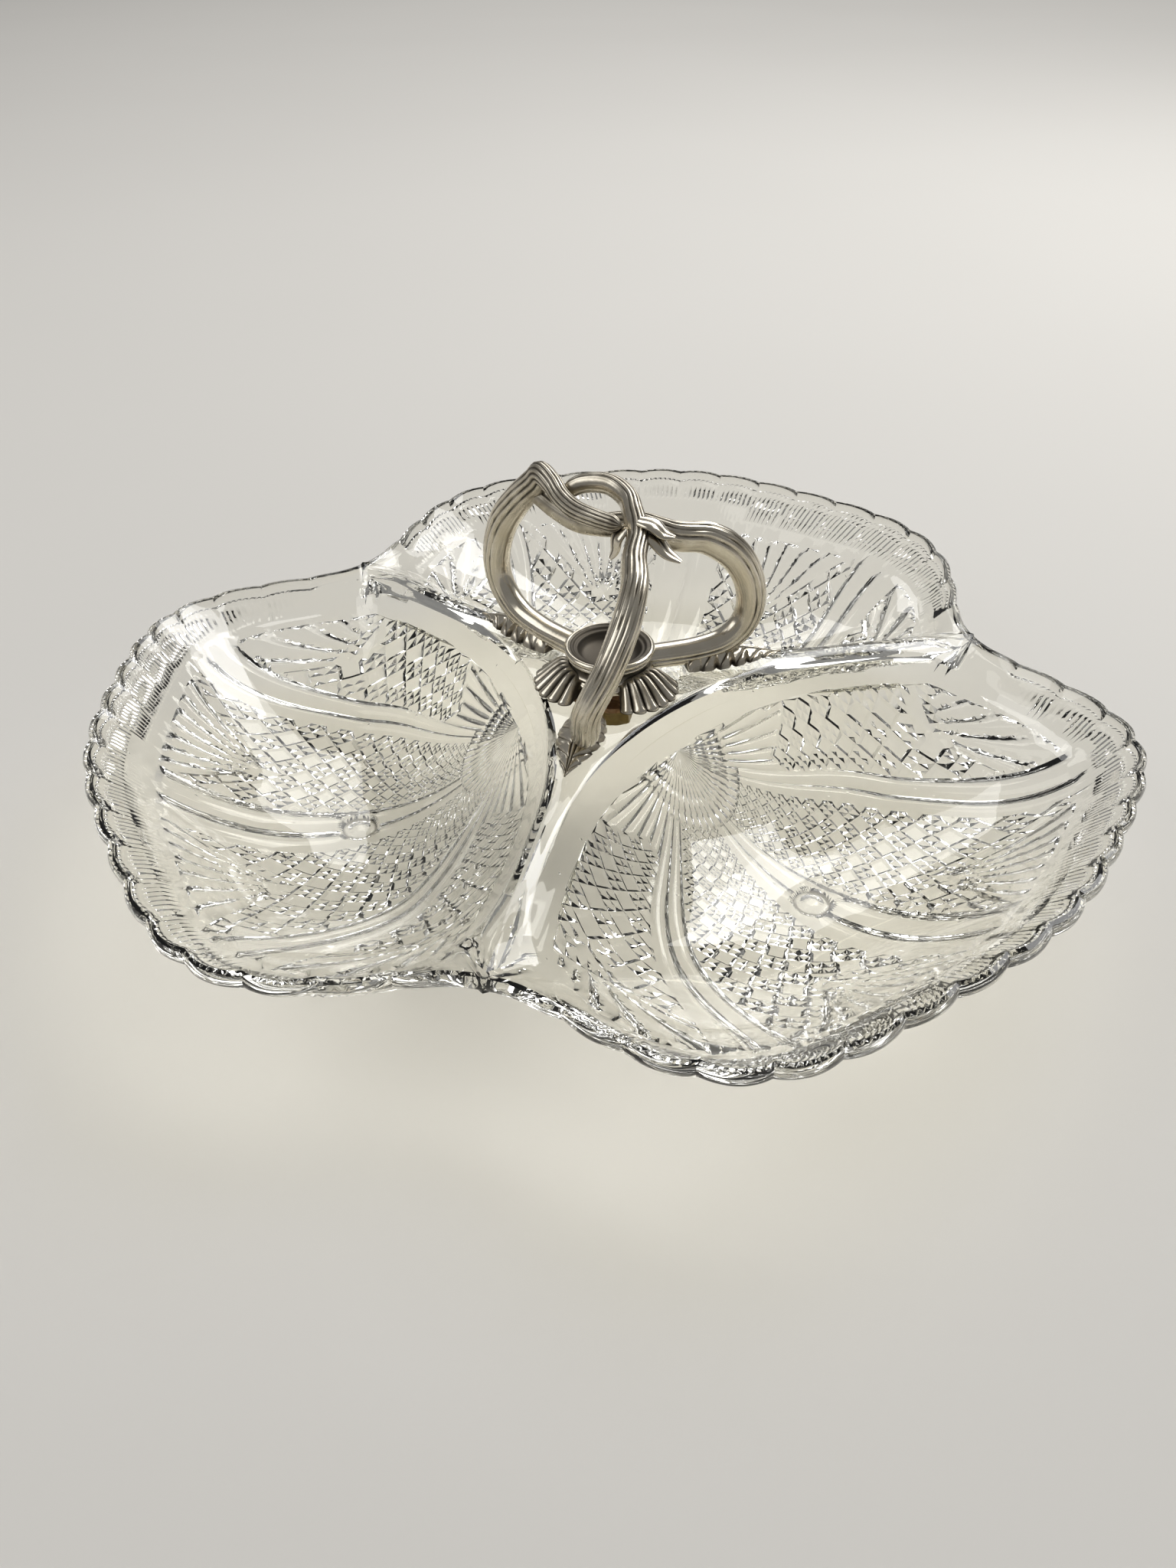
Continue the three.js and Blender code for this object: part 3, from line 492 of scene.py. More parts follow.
def lobe(sizes):
    """Points and triangles of one lobe, open along the lines where it meets its neighbours."""
    turn, radius, height, on_rim, flute = outline(sizes)
    rim = on_rim.astype(bool)
    shut = np.abs(turn) == LOBE_TURN
    rounded = rim & ~shut
    inset = np.where(rounded, RIM_INSET, 0.0)
    u, v = radius * np.cos(turn) - BOWL_CENTRE, radius * np.sin(turn)
    direction = np.arctan2(v, u)
    reach = np.hypot(u, v)
    end = reach - inset
    edge_distance, edge_height = bowl_edge(direction)
    border = end - edge_distance
    thickness = np.where(rim, RIM_THICKNESS, BRIDGE_THICKNESS)

    def at(distance, z):
        return np.stack([BOWL_CENTRE + distance * np.cos(direction), distance * np.sin(direction), z], -1)

    def upper(distance):
        top, _ = bowl_face(distance / edge_distance, edge_distance, edge_height)
        line = edge_height + (height - edge_height) * (distance - edge_distance) / border
        return at(distance, soft_lower(top, line, EDGE_SOFTNESS))

    near = np.minimum(2.0, 0.3 * border)
    upper_rows = [upper(edge_distance + k * near) for k in (-1.6, -0.8, -0.3, 0, 0.3, 0.8)]
    upper_rows += [upper(edge_distance + k * border) for k in (0.45, 0.7)]
    upper_rows.append(at(end, height))

    # Rounded edge of the rim
    edge_rows = [at(reach - np.where(rounded, back, 0), height - down) for back, down in RIM_EDGE]

    # Underside: flange or bridge from the corner outwards, then the outer wall of the bowl
    top_at_edge, slope = bowl_face(np.ones_like(reach), edge_distance, edge_height)
    wall = top_at_edge - GLASS_WALL * np.hypot(1, slope)
    run = np.minimum(CORNER_RUN, 0.6 * border)
    share = np.where(rim, run / border, 1)
    corner = np.minimum(edge_height + (height - edge_height) * share - thickness, wall + run * slope)

    def lower(k):
        distance = edge_distance + run + k * (border - run)
        z = corner + (height - thickness - corner) * k
        points = at(distance, z)
        along = points[:, 0] * math.cos(LOBE_TURN) + np.abs(points[:, 1]) * math.sin(LOBE_TURN)
        off = points[:, 0] * math.sin(LOBE_TURN) - np.abs(points[:, 1]) * math.cos(LOBE_TURN)
        strength = math.sin(math.pi * min(1, k + 0.2)) ** 0.5 if k < 1 else 0.6
        cut = sizes.flute_depth / MM * flute * strength
        points[:, 2] += np.where(rim, cut, -leaf_spray(along, off, sizes))
        return points

    lower_rows = [lower(k) for k in (1, 0.86, 0.72, 0.58, 0.44, 0.3, 0.15, 0)]
    lower_rows.append(at(edge_distance, wall))

    bowl_turn = np.linspace(-math.pi, math.pi, BOWL_COLUMNS, endpoint=False)
    far, tall = bowl_edge(bowl_turn)
    bowl_rows = []
    for k in np.linspace(0.06, 0.94, 15):
        z, _ = bowl_face(k, far, tall)
        u, v = BOWL_CENTRE + k * far * np.cos(bowl_turn), k * far * np.sin(bowl_turn)
        bowl_rows.append(np.stack([u, v, z], -1))

    points, faces = [np.array([[BOWL_CENTRE, 0, BOWL_FLOOR]])], []
    total = 1

    def numbered(rows):
        nonlocal total
        numbers = total + np.arange(sum(len(r) for r in rows)).reshape(len(rows), -1)
        points.extend(rows)
        total += numbers.size
        return numbers

    bowl = numbered(bowl_rows)
    faces.append(np.stack([np.zeros(BOWL_COLUMNS, int), bowl[0], np.roll(bowl[0], -1)], 1))
    faces += [ring_faces(a, b) for a, b in zip(bowl[:-1], bowl[1:])]
    top = numbered(upper_rows)
    order = np.argsort(direction)
    faces.append(zip_faces(bowl[-1], bowl_turn, top[0][order], direction[order]))
    faces += [ring_faces(a, b) for a, b in zip(top[:-1], top[1:])]
    edge = numbered(edge_rows)
    under = numbered(lower_rows)
    walled = ~(shut & np.roll(shut, -1))
    for a, b in zip([top[-1], *edge], [*edge, under[0]]):
        ring = ring_faces(a, b)
        faces.append(ring[np.concatenate([walled, walled])])
    faces += [ring_faces(a, b) for a, b in zip(under[:-1], under[1:])]
    pattern_points, pattern_faces, ring, ring_turn = pattern(sizes)
    faces.append(pattern_faces + total)
    points.append(pattern_points)
    ring_order = np.argsort(ring_turn)
    faces.append(zip_faces(ring[ring_order] + total, ring_turn[ring_order],
                           under[-1][order], direction[order]))
    return np.concatenate(points), np.concatenate(faces)


def whole_dish(sizes):
    """Three lobes turned about the middle and welded along the bridges."""
    points, faces = lobe(sizes)
    all_points = np.concatenate([turned_about_z(points, angle) for angle in LOBE_ANGLES])
    all_faces = np.concatenate([faces + k * len(points) for k in range(len(LOBE_ANGLES))])
    return welded(all_points, all_faces)


# The plated handle

BOSS_BASE = 40.3
BOSS_RADIUS = 12.0

# Radius and height above the base, from the bore outwards, up, over the reeded rim and down into the cup
BOSS_PROFILE = ((3.6, 0), (11.2, 0), (12, 0.8), (11.9, 1.9), (11.1, 2.5), (11.4, 3.2), (10.8, 4.0),
                (10.7, 5.4), (11.3, 6.4), (11.0, 6.9), (11.9, 7.6), (11.9, 8.5), (11.1, 9), (10.6, 8.5),
                (9.9, 8.7), (9.3, 8.1), (8.6, 8.1), (8.0, 7.2), (7.0, 6.1), (4, 5.4), (0.2, 5.4))
BOSS_BORE = ((0.2, 4.3), (3.3, 4.3), (3.3, 0.2))

# Arms, leaves and palmettes
FOOT_HEIGHT = 3.3
ARM_ROOT = 2.0
ARM_THICKNESS = 9.0
ARM_WIDTH = 6.8
FOOT_TAPER = 0.72
TAIL_TAPER = 0.5
TAIL_SHARE = 0.5
ARM_STATIONS = 170
ARM_SIDES = 72
LEAF_START = 21.0
LEAF_WIDTH = 12.0
LEAF_HEIGHT = 5.0
PALMETTE_RUN = (11.0, 20.5)
PALMETTE_HEIGHT = 6.0
PALMETTE_SPREAD = 74.0
PALMETTE_FLUTES = 7
CLEARANCE = 0.3

# Arms of the handle. A tail lists distance from the middle, degrees past the bridge and height above the boss
ARMS = {
    "right": {"bridge": 30, "leaf": 49, "foot": 26, "reach": 39.1, "waist": 15.5, "sway": 0,
              "shoulder": (17.5, 37.6), "lean": 0, "point": 1,
              "tail": ((10.8, 36, 39.2), (10, 84, 38.4), (14, 108, 38.4), (20, 116, 40), (25, 119, 42.2),
                       (29, 120, 44))},
    "left_back": {"bridge": 150, "leaf": 51, "foot": 27, "reach": 43.4, "waist": 18, "sway": 0,
                  "shoulder": (24, 49), "lean": 0, "point": 2.3,
                  "tail": ((19, 3, 48.2), (14.4, 10, 46.5), (8.6, 29, 45.9), (4.7, 84, 46.3),
                           (8.4, 154, 46.5))},
    "front": {"bridge": 270, "leaf": 45, "foot": 27, "reach": 42.6, "waist": 16, "sway": 7,
              "shoulder": (18.4, 42.3), "lean": 32, "point": 1,
              "tail": ((11.5, 50, 44.9), (6.2, 80, 47.3), (5.2, 136, 48.9), (8.6, 196, 50),
                       (13.3, 225, 48.8), (16.3, 239, 46.2))},
}

# Leaflets that curl off the front arm, as X, Y and height
FLOURISH_WIDTH = 6.0
FLOURISH_THICKNESS = 2.2
FLOURISHES = (
    ((9.0, -7.0, 86.5), (12.5, -8.0, 85.5), (16.5, -9.0, 82.0), (20.0, -9.6, 80.5)),
    ((9.0, -6.5, 88.5), (12.5, -7.0, 88.0), (15.5, -7.5, 86.0), (18.0, -7.8, 85.8)),
    ((5.5, -5.5, 86.0), (3.5, -6.5, 83.5), (3.2, -7.5, 80.5), (2.2, -8.2, 78.5)),
)


def cylinder_points(rows):
    """Points from rows of distance from the Z axis, angle in degrees and height."""
    radius, angle, height = np.asarray(rows, float).T
    return np.stack([radius * np.cos(np.radians(angle)), radius * np.sin(np.radians(angle)), height], -1)


def spline(knots, count):
    """A centripetal Catmull-Rom curve through knots, cut into equal lengths."""
    chain = np.concatenate([[2 * knots[0] - knots[1]], knots, [2 * knots[-1] - knots[-2]]])
    times = np.concatenate([[0], np.cumsum(np.linalg.norm(np.diff(chain, axis=0), axis=1) ** 0.5)])
    p = [chain[k:len(chain) - 3 + k, None, :] for k in range(4)]
    t = [times[k:len(times) - 3 + k, None, None] for k in range(4)]
    x = t[1] + (t[2] - t[1]) * np.linspace(0, 1, 24, endpoint=False)[None, :, None]

    def between(a, b, low, high):
        return (a * (high - x) + b * (x - low)) / (high - low)

    first = [between(p[k], p[k + 1], t[k], t[k + 1]) for k in range(3)]
    second = [between(first[k], first[k + 1], t[k], t[k + 2]) for k in range(2)]
    dense = np.concatenate([between(*second, t[1], t[2]).reshape(-1, 3), knots[-1:]])
    length = np.concatenate([[0], np.cumsum(np.linalg.norm(np.diff(dense, axis=0), axis=1))])
    even = np.linspace(0, length[-1], count)
    return np.stack([np.interp(even, length, dense[:, k]) for k in range(3)], 1)


def carried_frames(path, start):
    """Normals carried along a path without twist, and the directions across."""
    tangents = np.gradient(path, axis=0)
    tangents /= np.linalg.norm(tangents, axis=1, keepdims=True)
    normals = np.empty_like(path)
    normal = np.asarray(start, float)
    for k, tangent in enumerate(tangents):
        normal = normal - tangent * (normal @ tangent)
        normal = normal / np.linalg.norm(normal)
        normals[k] = normal
    return normals, np.cross(tangents, normals)


def loft(rings):
    """Points and triangles of a skin over rings of equally many points, closed by a point at each end."""
    count, sides = rings.shape[:2]
    grid = np.arange(count * sides).reshape(count, sides)
    faces = [ring_faces(a, b) for a, b in zip(grid[:-1], grid[1:])]
    for end, ring in ((count * sides, grid[0]), (count * sides + 1, grid[-1])):
        faces.append(np.stack([np.full(sides, end), ring, np.roll(ring, -1)], 1))
    points = np.concatenate([rings.reshape(-1, 3), rings[[0, -1]].mean(1)])
    return points, np.concatenate(faces)


def swept(path, normals, across, deep, wide):
    """Points and triangles of a section carried along a path, its depth along the normals."""
    return loft(path[:, None] + normals[:, None] * deep[..., None] + across[:, None] * wide[..., None])


def joined(parts):
    """Several closed skins, each with its points, triangles, and tarnish and painted shade, as one."""
    starts = np.cumsum([0] + [len(points) for points, _, _ in parts[:-1]])
    return (np.concatenate([points for points, _, _ in parts]),
            np.concatenate([faces + start for start, (_, faces, _) in zip(starts, parts)]),
            np.concatenate([tarnish_and_shade for _, _, tarnish_and_shade in parts]))


def arm_path(arm):
    """Middle line of an arm: out to the foot, two quarter ellipses of the C, then the tail."""
    bridge = arm["bridge"]
    rows = [(BOSS_RADIUS - ARM_ROOT, bridge, FOOT_HEIGHT)]
    for a in np.radians((-90, -60, -30, 0)):
        rows.append((arm["foot"] + (arm["reach"] - arm["foot"]) * math.cos(a),
                     bridge + arm["sway"] * math.cos(a),
                     arm["waist"] + (arm["waist"] - FOOT_HEIGHT) * math.sin(a)))
    shoulder_radius, shoulder_height = arm["shoulder"]
    for share in (0.25, 0.5, 0.75, 1):
        a = math.pi / 2 * share
        fall = max(0, math.cos(a)) ** arm["point"]
        rows.append((shoulder_radius + (arm["reach"] - shoulder_radius) * fall,
                     bridge + arm["sway"] + (arm["lean"] - arm["sway"]) * share,
                     arm["waist"] + (shoulder_height - arm["waist"]) * math.sin(a)))
    rows += [(radius, bridge + turn, height) for radius, turn, height in arm["tail"]]
    return spline(cylinder_points(rows) + [0, 0, BOSS_BASE], ARM_STATIONS)


def arm_shape(arm, sizes):
    """A reeded oval carried along the arm's middle line, with how much tarnish and painted shade each point
    takes.

    Reeds are the root of a cosine's size, so they are round with sharp grooves between them. They cover the
    outside of the curl, turn slowly round the arm, and leave its inside smooth.
    """
    path = arm_path(arm)
    normals, across = carried_frames(path, (0, 0, -1))
    t = np.linspace(0, 1, len(path))[:, None]
    a = np.linspace(-math.pi, math.pi, ARM_SIDES, endpoint=False)[None, :]
    swell = np.minimum(1, FOOT_TAPER + 2 * (1 - FOOT_TAPER) * t)
    fade = 1 - (1 - TAIL_TAPER) * np.maximum(0, 1 - (1 - t) / TAIL_SHARE)
    tip = np.sqrt(np.clip(np.minimum((1 - t) / 0.02, 1), 0.02, 1))
    turn = sizes.reed_turn * t ** 2
    reach = np.radians(120)
    pitch = sizes.reed_pitch
    around = np.mod(a - turn + math.pi, 2 * math.pi) - math.pi
    ridge = np.abs(np.cos(math.pi * around / pitch)) ** 0.5
    covered = smooth(reach, reach - 0.25, np.abs(around))
    groove = (1 - ridge) * covered
    cut = sizes.reed_depth / MM * groove * fade
    deep = (ARM_THICKNESS / 2 * swell * fade - cut) * np.cos(a) * tip
    wide = (ARM_WIDTH / 2 * fade - cut) * np.sin(a) * tip
    points, faces = swept(path, normals, across, deep, wide)
    knot = smooth(0.45, 0.75, t)
    # Tarnish in the grooves, darker towards the knotted tail, painted shade on the smooth inside of the curl,
    # and full dark on the two end caps.
    tarnish_and_shade = np.clip(groove + 0.35 * knot + 0.25 * smooth(2.2, 3, np.abs(a)), 0, 1)
    return points, faces, np.append(tarnish_and_shade.ravel(), [1, 1])


def flourish_shape(knots, sizes):
    """A pointed leaflet that curls off an arm: its width follows a sine, with a groove down its middle."""
    path = spline(np.asarray(knots, float), 40)
    normals, across = carried_frames(path, (0, 0, 1))
    t = np.linspace(0, 1, len(path))[:, None]
    a = np.linspace(-math.pi, math.pi, 32, endpoint=False)[None, :]
    swell = np.sin(math.pi * (0.25 + 0.66 * t))
    groove = np.exp(-(np.sin(a) / 0.22) ** 2) * (np.cos(a) > 0)
    deep = (FLOURISH_THICKNESS / 2 * np.cos(a) - sizes.leaflet_depth / MM * 0.6 * groove) * swell
    wide = FLOURISH_WIDTH / 2 * np.sin(a) * swell
    points, faces = swept(path, normals, across, deep, wide)
    # Tarnish in the groove down the middle, and painted shade on the underside of the leaflet.
    tarnish_and_shade = np.clip(groove + 0.6 * (np.cos(a) < -0.2), 0, 1) + 0 * t
    return points, faces, np.append(tarnish_and_shade.ravel(), [0.5, 0.5])


def leaf_shape(arm, sizes):
    """An acanthus leaf on the bridge: width and height follow sines, slanting grooves part its leaflets."""
    t = np.linspace(0, 1, 90)[:, None]
    s = np.linspace(-1, 1, 41)[None, :]
    radius = LEAF_START + (arm["leaf"] - LEAF_START) * t
    leaflet = np.mod(6 * t + 1.3 * np.abs(s), 1)
    notch = 1 - 0.3 * smooth(0.55, 1, np.mod(6 * t + 1.3, 1)) * np.sin(math.pi * t)
    half = np.maximum(0.5, LEAF_WIDTH * np.sin(math.pi * (1 + 3 * t) / 4)) / 2 * notch
    height = np.maximum(0.6, LEAF_HEIGHT * np.sin(math.pi * (1 + 2 * t) / 3))
    groove = np.abs(2 * leaflet - 1) ** 6 * smooth(0.1, 0.3, np.abs(s))
    vein = np.exp(-((np.abs(s) - 0.14) / 0.05) ** 2)
    # Tarnish in the grooves and the vein, and painted shade along the edges where the leaf meets the glass.
    tarnish_and_shade = np.clip(np.maximum(groove, vein) + 0.5 * smooth(0.75, 1, np.abs(s)), 0, 1)
    curl = 0.6 * smooth(0.6, 1, np.abs(s)) * np.sin(math.pi * t)
    crown = height * np.sqrt(np.clip(1 - s ** 2, 0, 1)) ** 1.3
    floor = bridge_height(radius) + 2 * CLEARANCE
    top = floor + np.maximum(0.25, crown - sizes.leaflet_depth / MM * np.maximum(groove, vein)) + curl
    base_s = np.linspace(1, -1, 9)[None, 1:-1]
    upper = np.stack([radius + 0 * s, half * s, top], -1)
    lower = np.stack([radius + 0 * base_s, half * base_s, floor + 0 * base_s], -1)
    points, faces = loft(np.concatenate([upper, lower], 1))
    # The underside, on the glass, is painted fully in shade.
    depth = np.concatenate([tarnish_and_shade, np.ones((len(t), base_s.shape[1]))], 1)
    return turned_about_z(points, arm["bridge"]), faces, np.append(depth.ravel(), [1, 1])


def palmette_shape(lobe_angle, sizes):
    """A fluted shell that falls from the boss to the glass as a cosine, with a scalloped edge."""
    s = np.linspace(-0.5, 0.5, PALMETTE_FLUTES * 12 + 1)[:, None]
    t = np.linspace(0, 1, 22)[None, :]
    rib = np.abs(np.sin(math.pi * (s + 0.5) * PALMETTE_FLUTES)) ** 0.6
    depth = sizes.shell_depth / MM
    outer = PALMETTE_RUN[1] * (1 - s ** 2 / 2) - depth * (1 - rib)
    radius = PALMETTE_RUN[0] + (outer - PALMETTE_RUN[0]) * t
    angle = np.radians(PALMETTE_SPREAD) * s * (1 - 0.12 * (1 - t))
    floor = BRIDGE_HEIGHT + 2 * CLEARANCE
    body = 0.7 + (PALMETTE_HEIGHT - 0.7) * np.cos(math.pi / 2 * t) ** 1.4
    rim = depth * np.sqrt(np.clip(1 - t ** 8, 0, 1))
    top = floor + body * (1 - 0.35 * (2 * s) ** 4) + rim * (rib - 0.5) * smooth(0, 0.3, t)
    upper = np.stack([radius * np.cos(angle), radius * np.sin(angle), np.maximum(top, floor + 0.3)], -1)
    back = t[:, ::-5]
    low_radius = PALMETTE_RUN[0] + (outer - PALMETTE_RUN[0]) * back
    low_angle = np.radians(PALMETTE_SPREAD) * s * (1 - 0.12 * (1 - back))
    lower = np.stack([low_radius * np.cos(low_angle), low_radius * np.sin(low_angle),
                      floor + 0 * low_radius], -1)
    points, faces = loft(np.concatenate([upper, lower], 1))
    # Tarnish in the hollows of the flutes, painted shade growing towards the boss, and the underside fully in
    # painted shade.
    tarnish_and_shade = np.concatenate([(1 - rib) * smooth(0, 0.2, t) + 0.5 * (1 - t), np.ones_like(low_radius)], 1)
    return turned_about_z(points, lobe_angle), faces, np.append(np.clip(tarnish_and_shade, 0, 1).ravel(), [1, 1])


def boss_shape():
    """A turned collar: a profile of radius and height carried round the axis, cupped above, bored below."""
    profile = spline(np.insert(np.array(BOSS_PROFILE), 1, 0, axis=1), 110)
    bore = np.array(BOSS_BORE)
    radius = np.concatenate([bore[:, 0], profile[:, 0]])
    height = BOSS_BASE + np.concatenate([bore[:, 1], profile[:, 2]])
    angle = np.linspace(0, 2 * math.pi, 96, endpoint=False)
    rings = np.stack([radius[:, None] * np.cos(angle), radius[:, None] * np.sin(angle),
                      height[:, None] + 0 * angle], -1)
    points, faces = loft(rings)
    cup = smooth(10.8, 9.4, radius) * (height > BOSS_BASE + 5)
    waist = smooth(11.5, 10.8, radius) * 0.7
    tarnish_and_shade = np.repeat(np.clip(cup + waist, 0, 1), len(angle))
    return points, faces, np.append(tarnish_and_shade, [1, 1])


# The fixing under the glass

STUD_RADIUS = 3.0
STUD_RUN = (23.7, 44.3)
THREAD_PITCH = 1.0
THREAD_DEPTH = 0.35
NUT_FLATS = 11.0
NUT_RUN = (25.2, 30.2)


def stud_shape():
    """A screw: the radius is a triangle wave of height less turn, so the crest climbs one pitch a turn."""
    z = np.linspace(*STUD_RUN, 150)[:, None]
    angle = np.linspace(0, 2 * math.pi, 40, endpoint=False)[None, :]
    crest = np.abs(2 * np.mod(z / THREAD_PITCH - angle / (2 * math.pi), 1) - 1)
    from_end = np.minimum(z - STUD_RUN[0], STUD_RUN[1] - z)
    radius = STUD_RADIUS - THREAD_DEPTH * crest - 0.8 * smooth(0.9, 0, from_end)
    return loft(np.stack([radius * np.cos(angle), radius * np.sin(angle), z + 0 * angle], -1))


def nut_shape():
    """A hexagon whose corners are turned off by a cone at both ends, round a plain bore."""
    low, high = NUT_RUN
    angle = np.linspace(0, 2 * math.pi, 120, endpoint=False)
    to_flat = np.mod(angle + math.pi / 6, math.pi / 3) - math.pi / 6
    flats = NUT_FLATS / 2 / np.cos(to_flat)
    bore = STUD_RADIUS + 0.12
    rows = []
    for radius, z in ((bore, low + 0.6), (bore + 0.6, low), (5.2, low)):
        rows.append((np.full_like(angle, radius), z))
    for z in np.linspace(low, high, 17):
        cone = 5.3 + 1.7 * min(z - low, high - z) / 0.8
        rows.append((np.minimum(flats, cone), z))
    for radius, z in ((5.2, high), (bore + 0.6, high), (bore, high - 0.6)):
        rows.append((np.full_like(angle, radius), z))
    grid = np.stack([np.stack([r * np.cos(angle), r * np.sin(angle), np.full_like(angle, z)], -1)
                     for r, z in rows])
    numbers = np.arange(grid[..., 0].size).reshape(grid.shape[:2])
    faces = [ring_faces(a, b) for a, b in zip(numbers, np.roll(numbers, -1, 0))]
    return grid.reshape(-1, 3), np.concatenate(faces)


# Finishes

def linear(hex_colour):
    """An sRGB hex colour as linear RGBA."""
    parts = [int(hex_colour[k:k + 2], 16) / 255 for k in (1, 3, 5)]
    return [p / 12.92 if p <= 0.04045 else ((p + 0.055) / 1.055) ** 2.4 for p in parts] + [1.0]


def add_node(tree, kind, settings=None, values=None, links=None):
    """Adds a node with its properties, its inputs' values and the sockets that feed its inputs."""
    node = tree.nodes.new(kind)
    for key, value in (settings or {}).items():
        setattr(node, key, value)
    for socket, value in (values or {}).items():
        node.inputs[socket].default_value = value
    for socket, source in (links or {}).items():
        tree.links.new(source, node.inputs[socket])
    return node


def per_metre(millimetres):
    """Scale of a pattern that repeats after a number of millimetres."""
    return 1000 / millimetres


def finish(name, build):
    """The material of a name, built the first time that a piece asks for it."""
    made = bpy.data.materials.get(name)
    if made is None:
        made = bpy.data.materials.new(name)
        made.use_nodes = True
        made.node_tree.nodes.clear()
        surface = build(made.node_tree, bpy.context.scene.dish_looks)
        add_node(made.node_tree, "ShaderNodeOutputMaterial", links={"Surface": surface})
    return made


def pressed_glass(tree, looks):
    """Soda glass pressed in an iron mould: clear, a little uneven, faintly warm, with pinhead bubbles."""
    place = add_node(tree, "ShaderNodeTexCoord").outputs["Object"]
    ripple = add_node(tree, "ShaderNodeTexNoise", values={"Scale": per_metre(11), "Detail": 2.0},
                      links={"Vector": place})
    seeds = add_node(tree, "ShaderNodeTexVoronoi", values={"Scale": per_metre(7)}, links={"Vector": place})
    bubble = add_node(tree, "ShaderNodeMapRange",
                      values={"From Min": 0.03, "From Max": 0.07, "To Min": 1.0, "To Max": 0.0},
                      links={"Value": seeds.outputs["Distance"]})
    wave_bump = add_node(tree, "ShaderNodeBump", values={"Strength": 0.25, "Distance": 0.0002},
                         links={"Height": ripple.outputs["Fac"]})
    seed_bump = add_node(tree, "ShaderNodeBump", values={"Strength": 0.5, "Distance": 0.0002},
                         links={"Height": bubble.outputs["Result"], "Normal": wave_bump.outputs["Normal"]})
    gloss = add_node(tree, "ShaderNodeMapRange", values={"To Min": 0.0, "To Max": 2 * looks.glass_roughness},
                     links={"Value": ripple.outputs["Fac"]})
    glass = add_node(tree, "ShaderNodeBsdfPrincipled",
                     values={"Base Color": [*looks.glass_colour, 1], "IOR": 1.52,
                             "Transmission Weight": 1.0},
                     links={"Roughness": gloss.outputs["Result"], "Normal": seed_bump.outputs["Normal"]})
    clear = add_node(tree, "ShaderNodeBsdfTransparent", values={"Color": [*looks.glass_shadow, 1]})
    path = add_node(tree, "ShaderNodeLightPath")
    shadow = path.outputs["Is Shadow Ray"]
    return add_node(tree, "ShaderNodeMixShader",
                    links={0: shadow, 1: glass.outputs[0], 2: clear.outputs[0]}).outputs[0]


def silver_plate(tree, looks):
    """Silver plated on cast brass, long handled: bright on the reeds, brown-black tarnish in the grooves, and
    painted shade in the same brown-black under the leaves and shells, inside the arms' curls and where the
    parts meet.
    """
    place = add_node(tree, "ShaderNodeTexCoord").outputs["Object"]
    # The point attribute read here holds tarnish in the grooves and painted shade under the leaves and
    # shells, inside the arms' curls and where parts meet.
    tarnish_and_shade = add_node(tree, "ShaderNodeAttribute", {"attribute_name": "tarnish_and_shade"}).outputs["Fac"]
    cloud = add_node(tree, "ShaderNodeTexNoise",
                     values={"Scale": per_metre(7), "Detail": 5.0, "Roughness": 0.6},
                     links={"Vector": place})
    speck = add_node(tree, "ShaderNodeTexNoise", values={"Scale": per_metre(1.2), "Detail": 3.0},
                     links={"Vector": place})
    blotch = add_node(tree, "ShaderNodeMath", {"operation": "MULTIPLY_ADD"}, {1: 0.9, 2: -0.42},
                      {0: cloud.outputs["Fac"]})
    # Painted shade and tarnish from the attribute, plus clouds of tarnish, darken the plating towards the
    # tarnish colour.
    tarnish_shade_and_blotch = add_node(tree, "ShaderNodeMath", {"operation": "ADD"}, links={0: tarnish_and_shade, 1: blotch.outputs[0]})
    dark = add_node(tree, "ShaderNodeMapRange", {"interpolation_type": "SMOOTHSTEP"},
                    {"From Min": 0.18, "From Max": 0.95, "To Max": looks.tarnish_and_shade_amount},
                    {"Value": tarnish_shade_and_blotch.outputs[0]})
    warm = add_node(tree, "ShaderNodeMix", {"data_type": "RGBA"},
                    {6: [*looks.silver_colour, 1], 7: [*looks.worn_colour, 1]}, {0: cloud.outputs["Fac"]})
    colour = add_node(tree, "ShaderNodeMix", {"data_type": "RGBA"}, {7: [*looks.tarnish_and_shade_colour, 1]},
                      {0: dark.outputs["Result"], 6: warm.outputs[2]})
    gloss = add_node(tree, "ShaderNodeMapRange", values={"To Min": looks.silver_roughness, "To Max": 0.6},
                     links={"Value": dark.outputs["Result"]})
    pits = add_node(tree, "ShaderNodeBump", values={"Strength": 0.2, "Distance": 0.0001},
                    links={"Height": speck.outputs["Fac"]})
    return add_node(tree, "ShaderNodeBsdfPrincipled", values={"Metallic": 1.0},
                    links={"Base Color": colour.outputs[2], "Roughness": gloss.outputs["Result"],
                           "Normal": pits.outputs["Normal"]}).outputs[0]


def turned_brass(tree, looks):
    """Dull brass of the screw, turned and long oxidised: brown clouds over a yellow metal."""
    place = add_node(tree, "ShaderNodeTexCoord").outputs["Object"]
    cloud = add_node(tree, "ShaderNodeTexNoise", values={"Scale": per_metre(3), "Detail": 4.0},
                     links={"Vector": place})
    colour = add_node(tree, "ShaderNodeMix", {"data_type": "RGBA"},
                      {6: [*looks.brass_colour, 1], 7: [*looks.brass_stain, 1]}, {0: cloud.outputs["Fac"]})
    gloss = add_node(tree, "ShaderNodeMapRange", values={"To Min": 0.28, "To Max": 0.5},
                     links={"Value": cloud.outputs["Fac"]})
    return add_node(tree, "ShaderNodeBsdfPrincipled", values={"Metallic": 1.0},
                    links={"Base Color": colour.outputs[2], "Roughness": gloss.outputs["Result"]}).outputs[0]


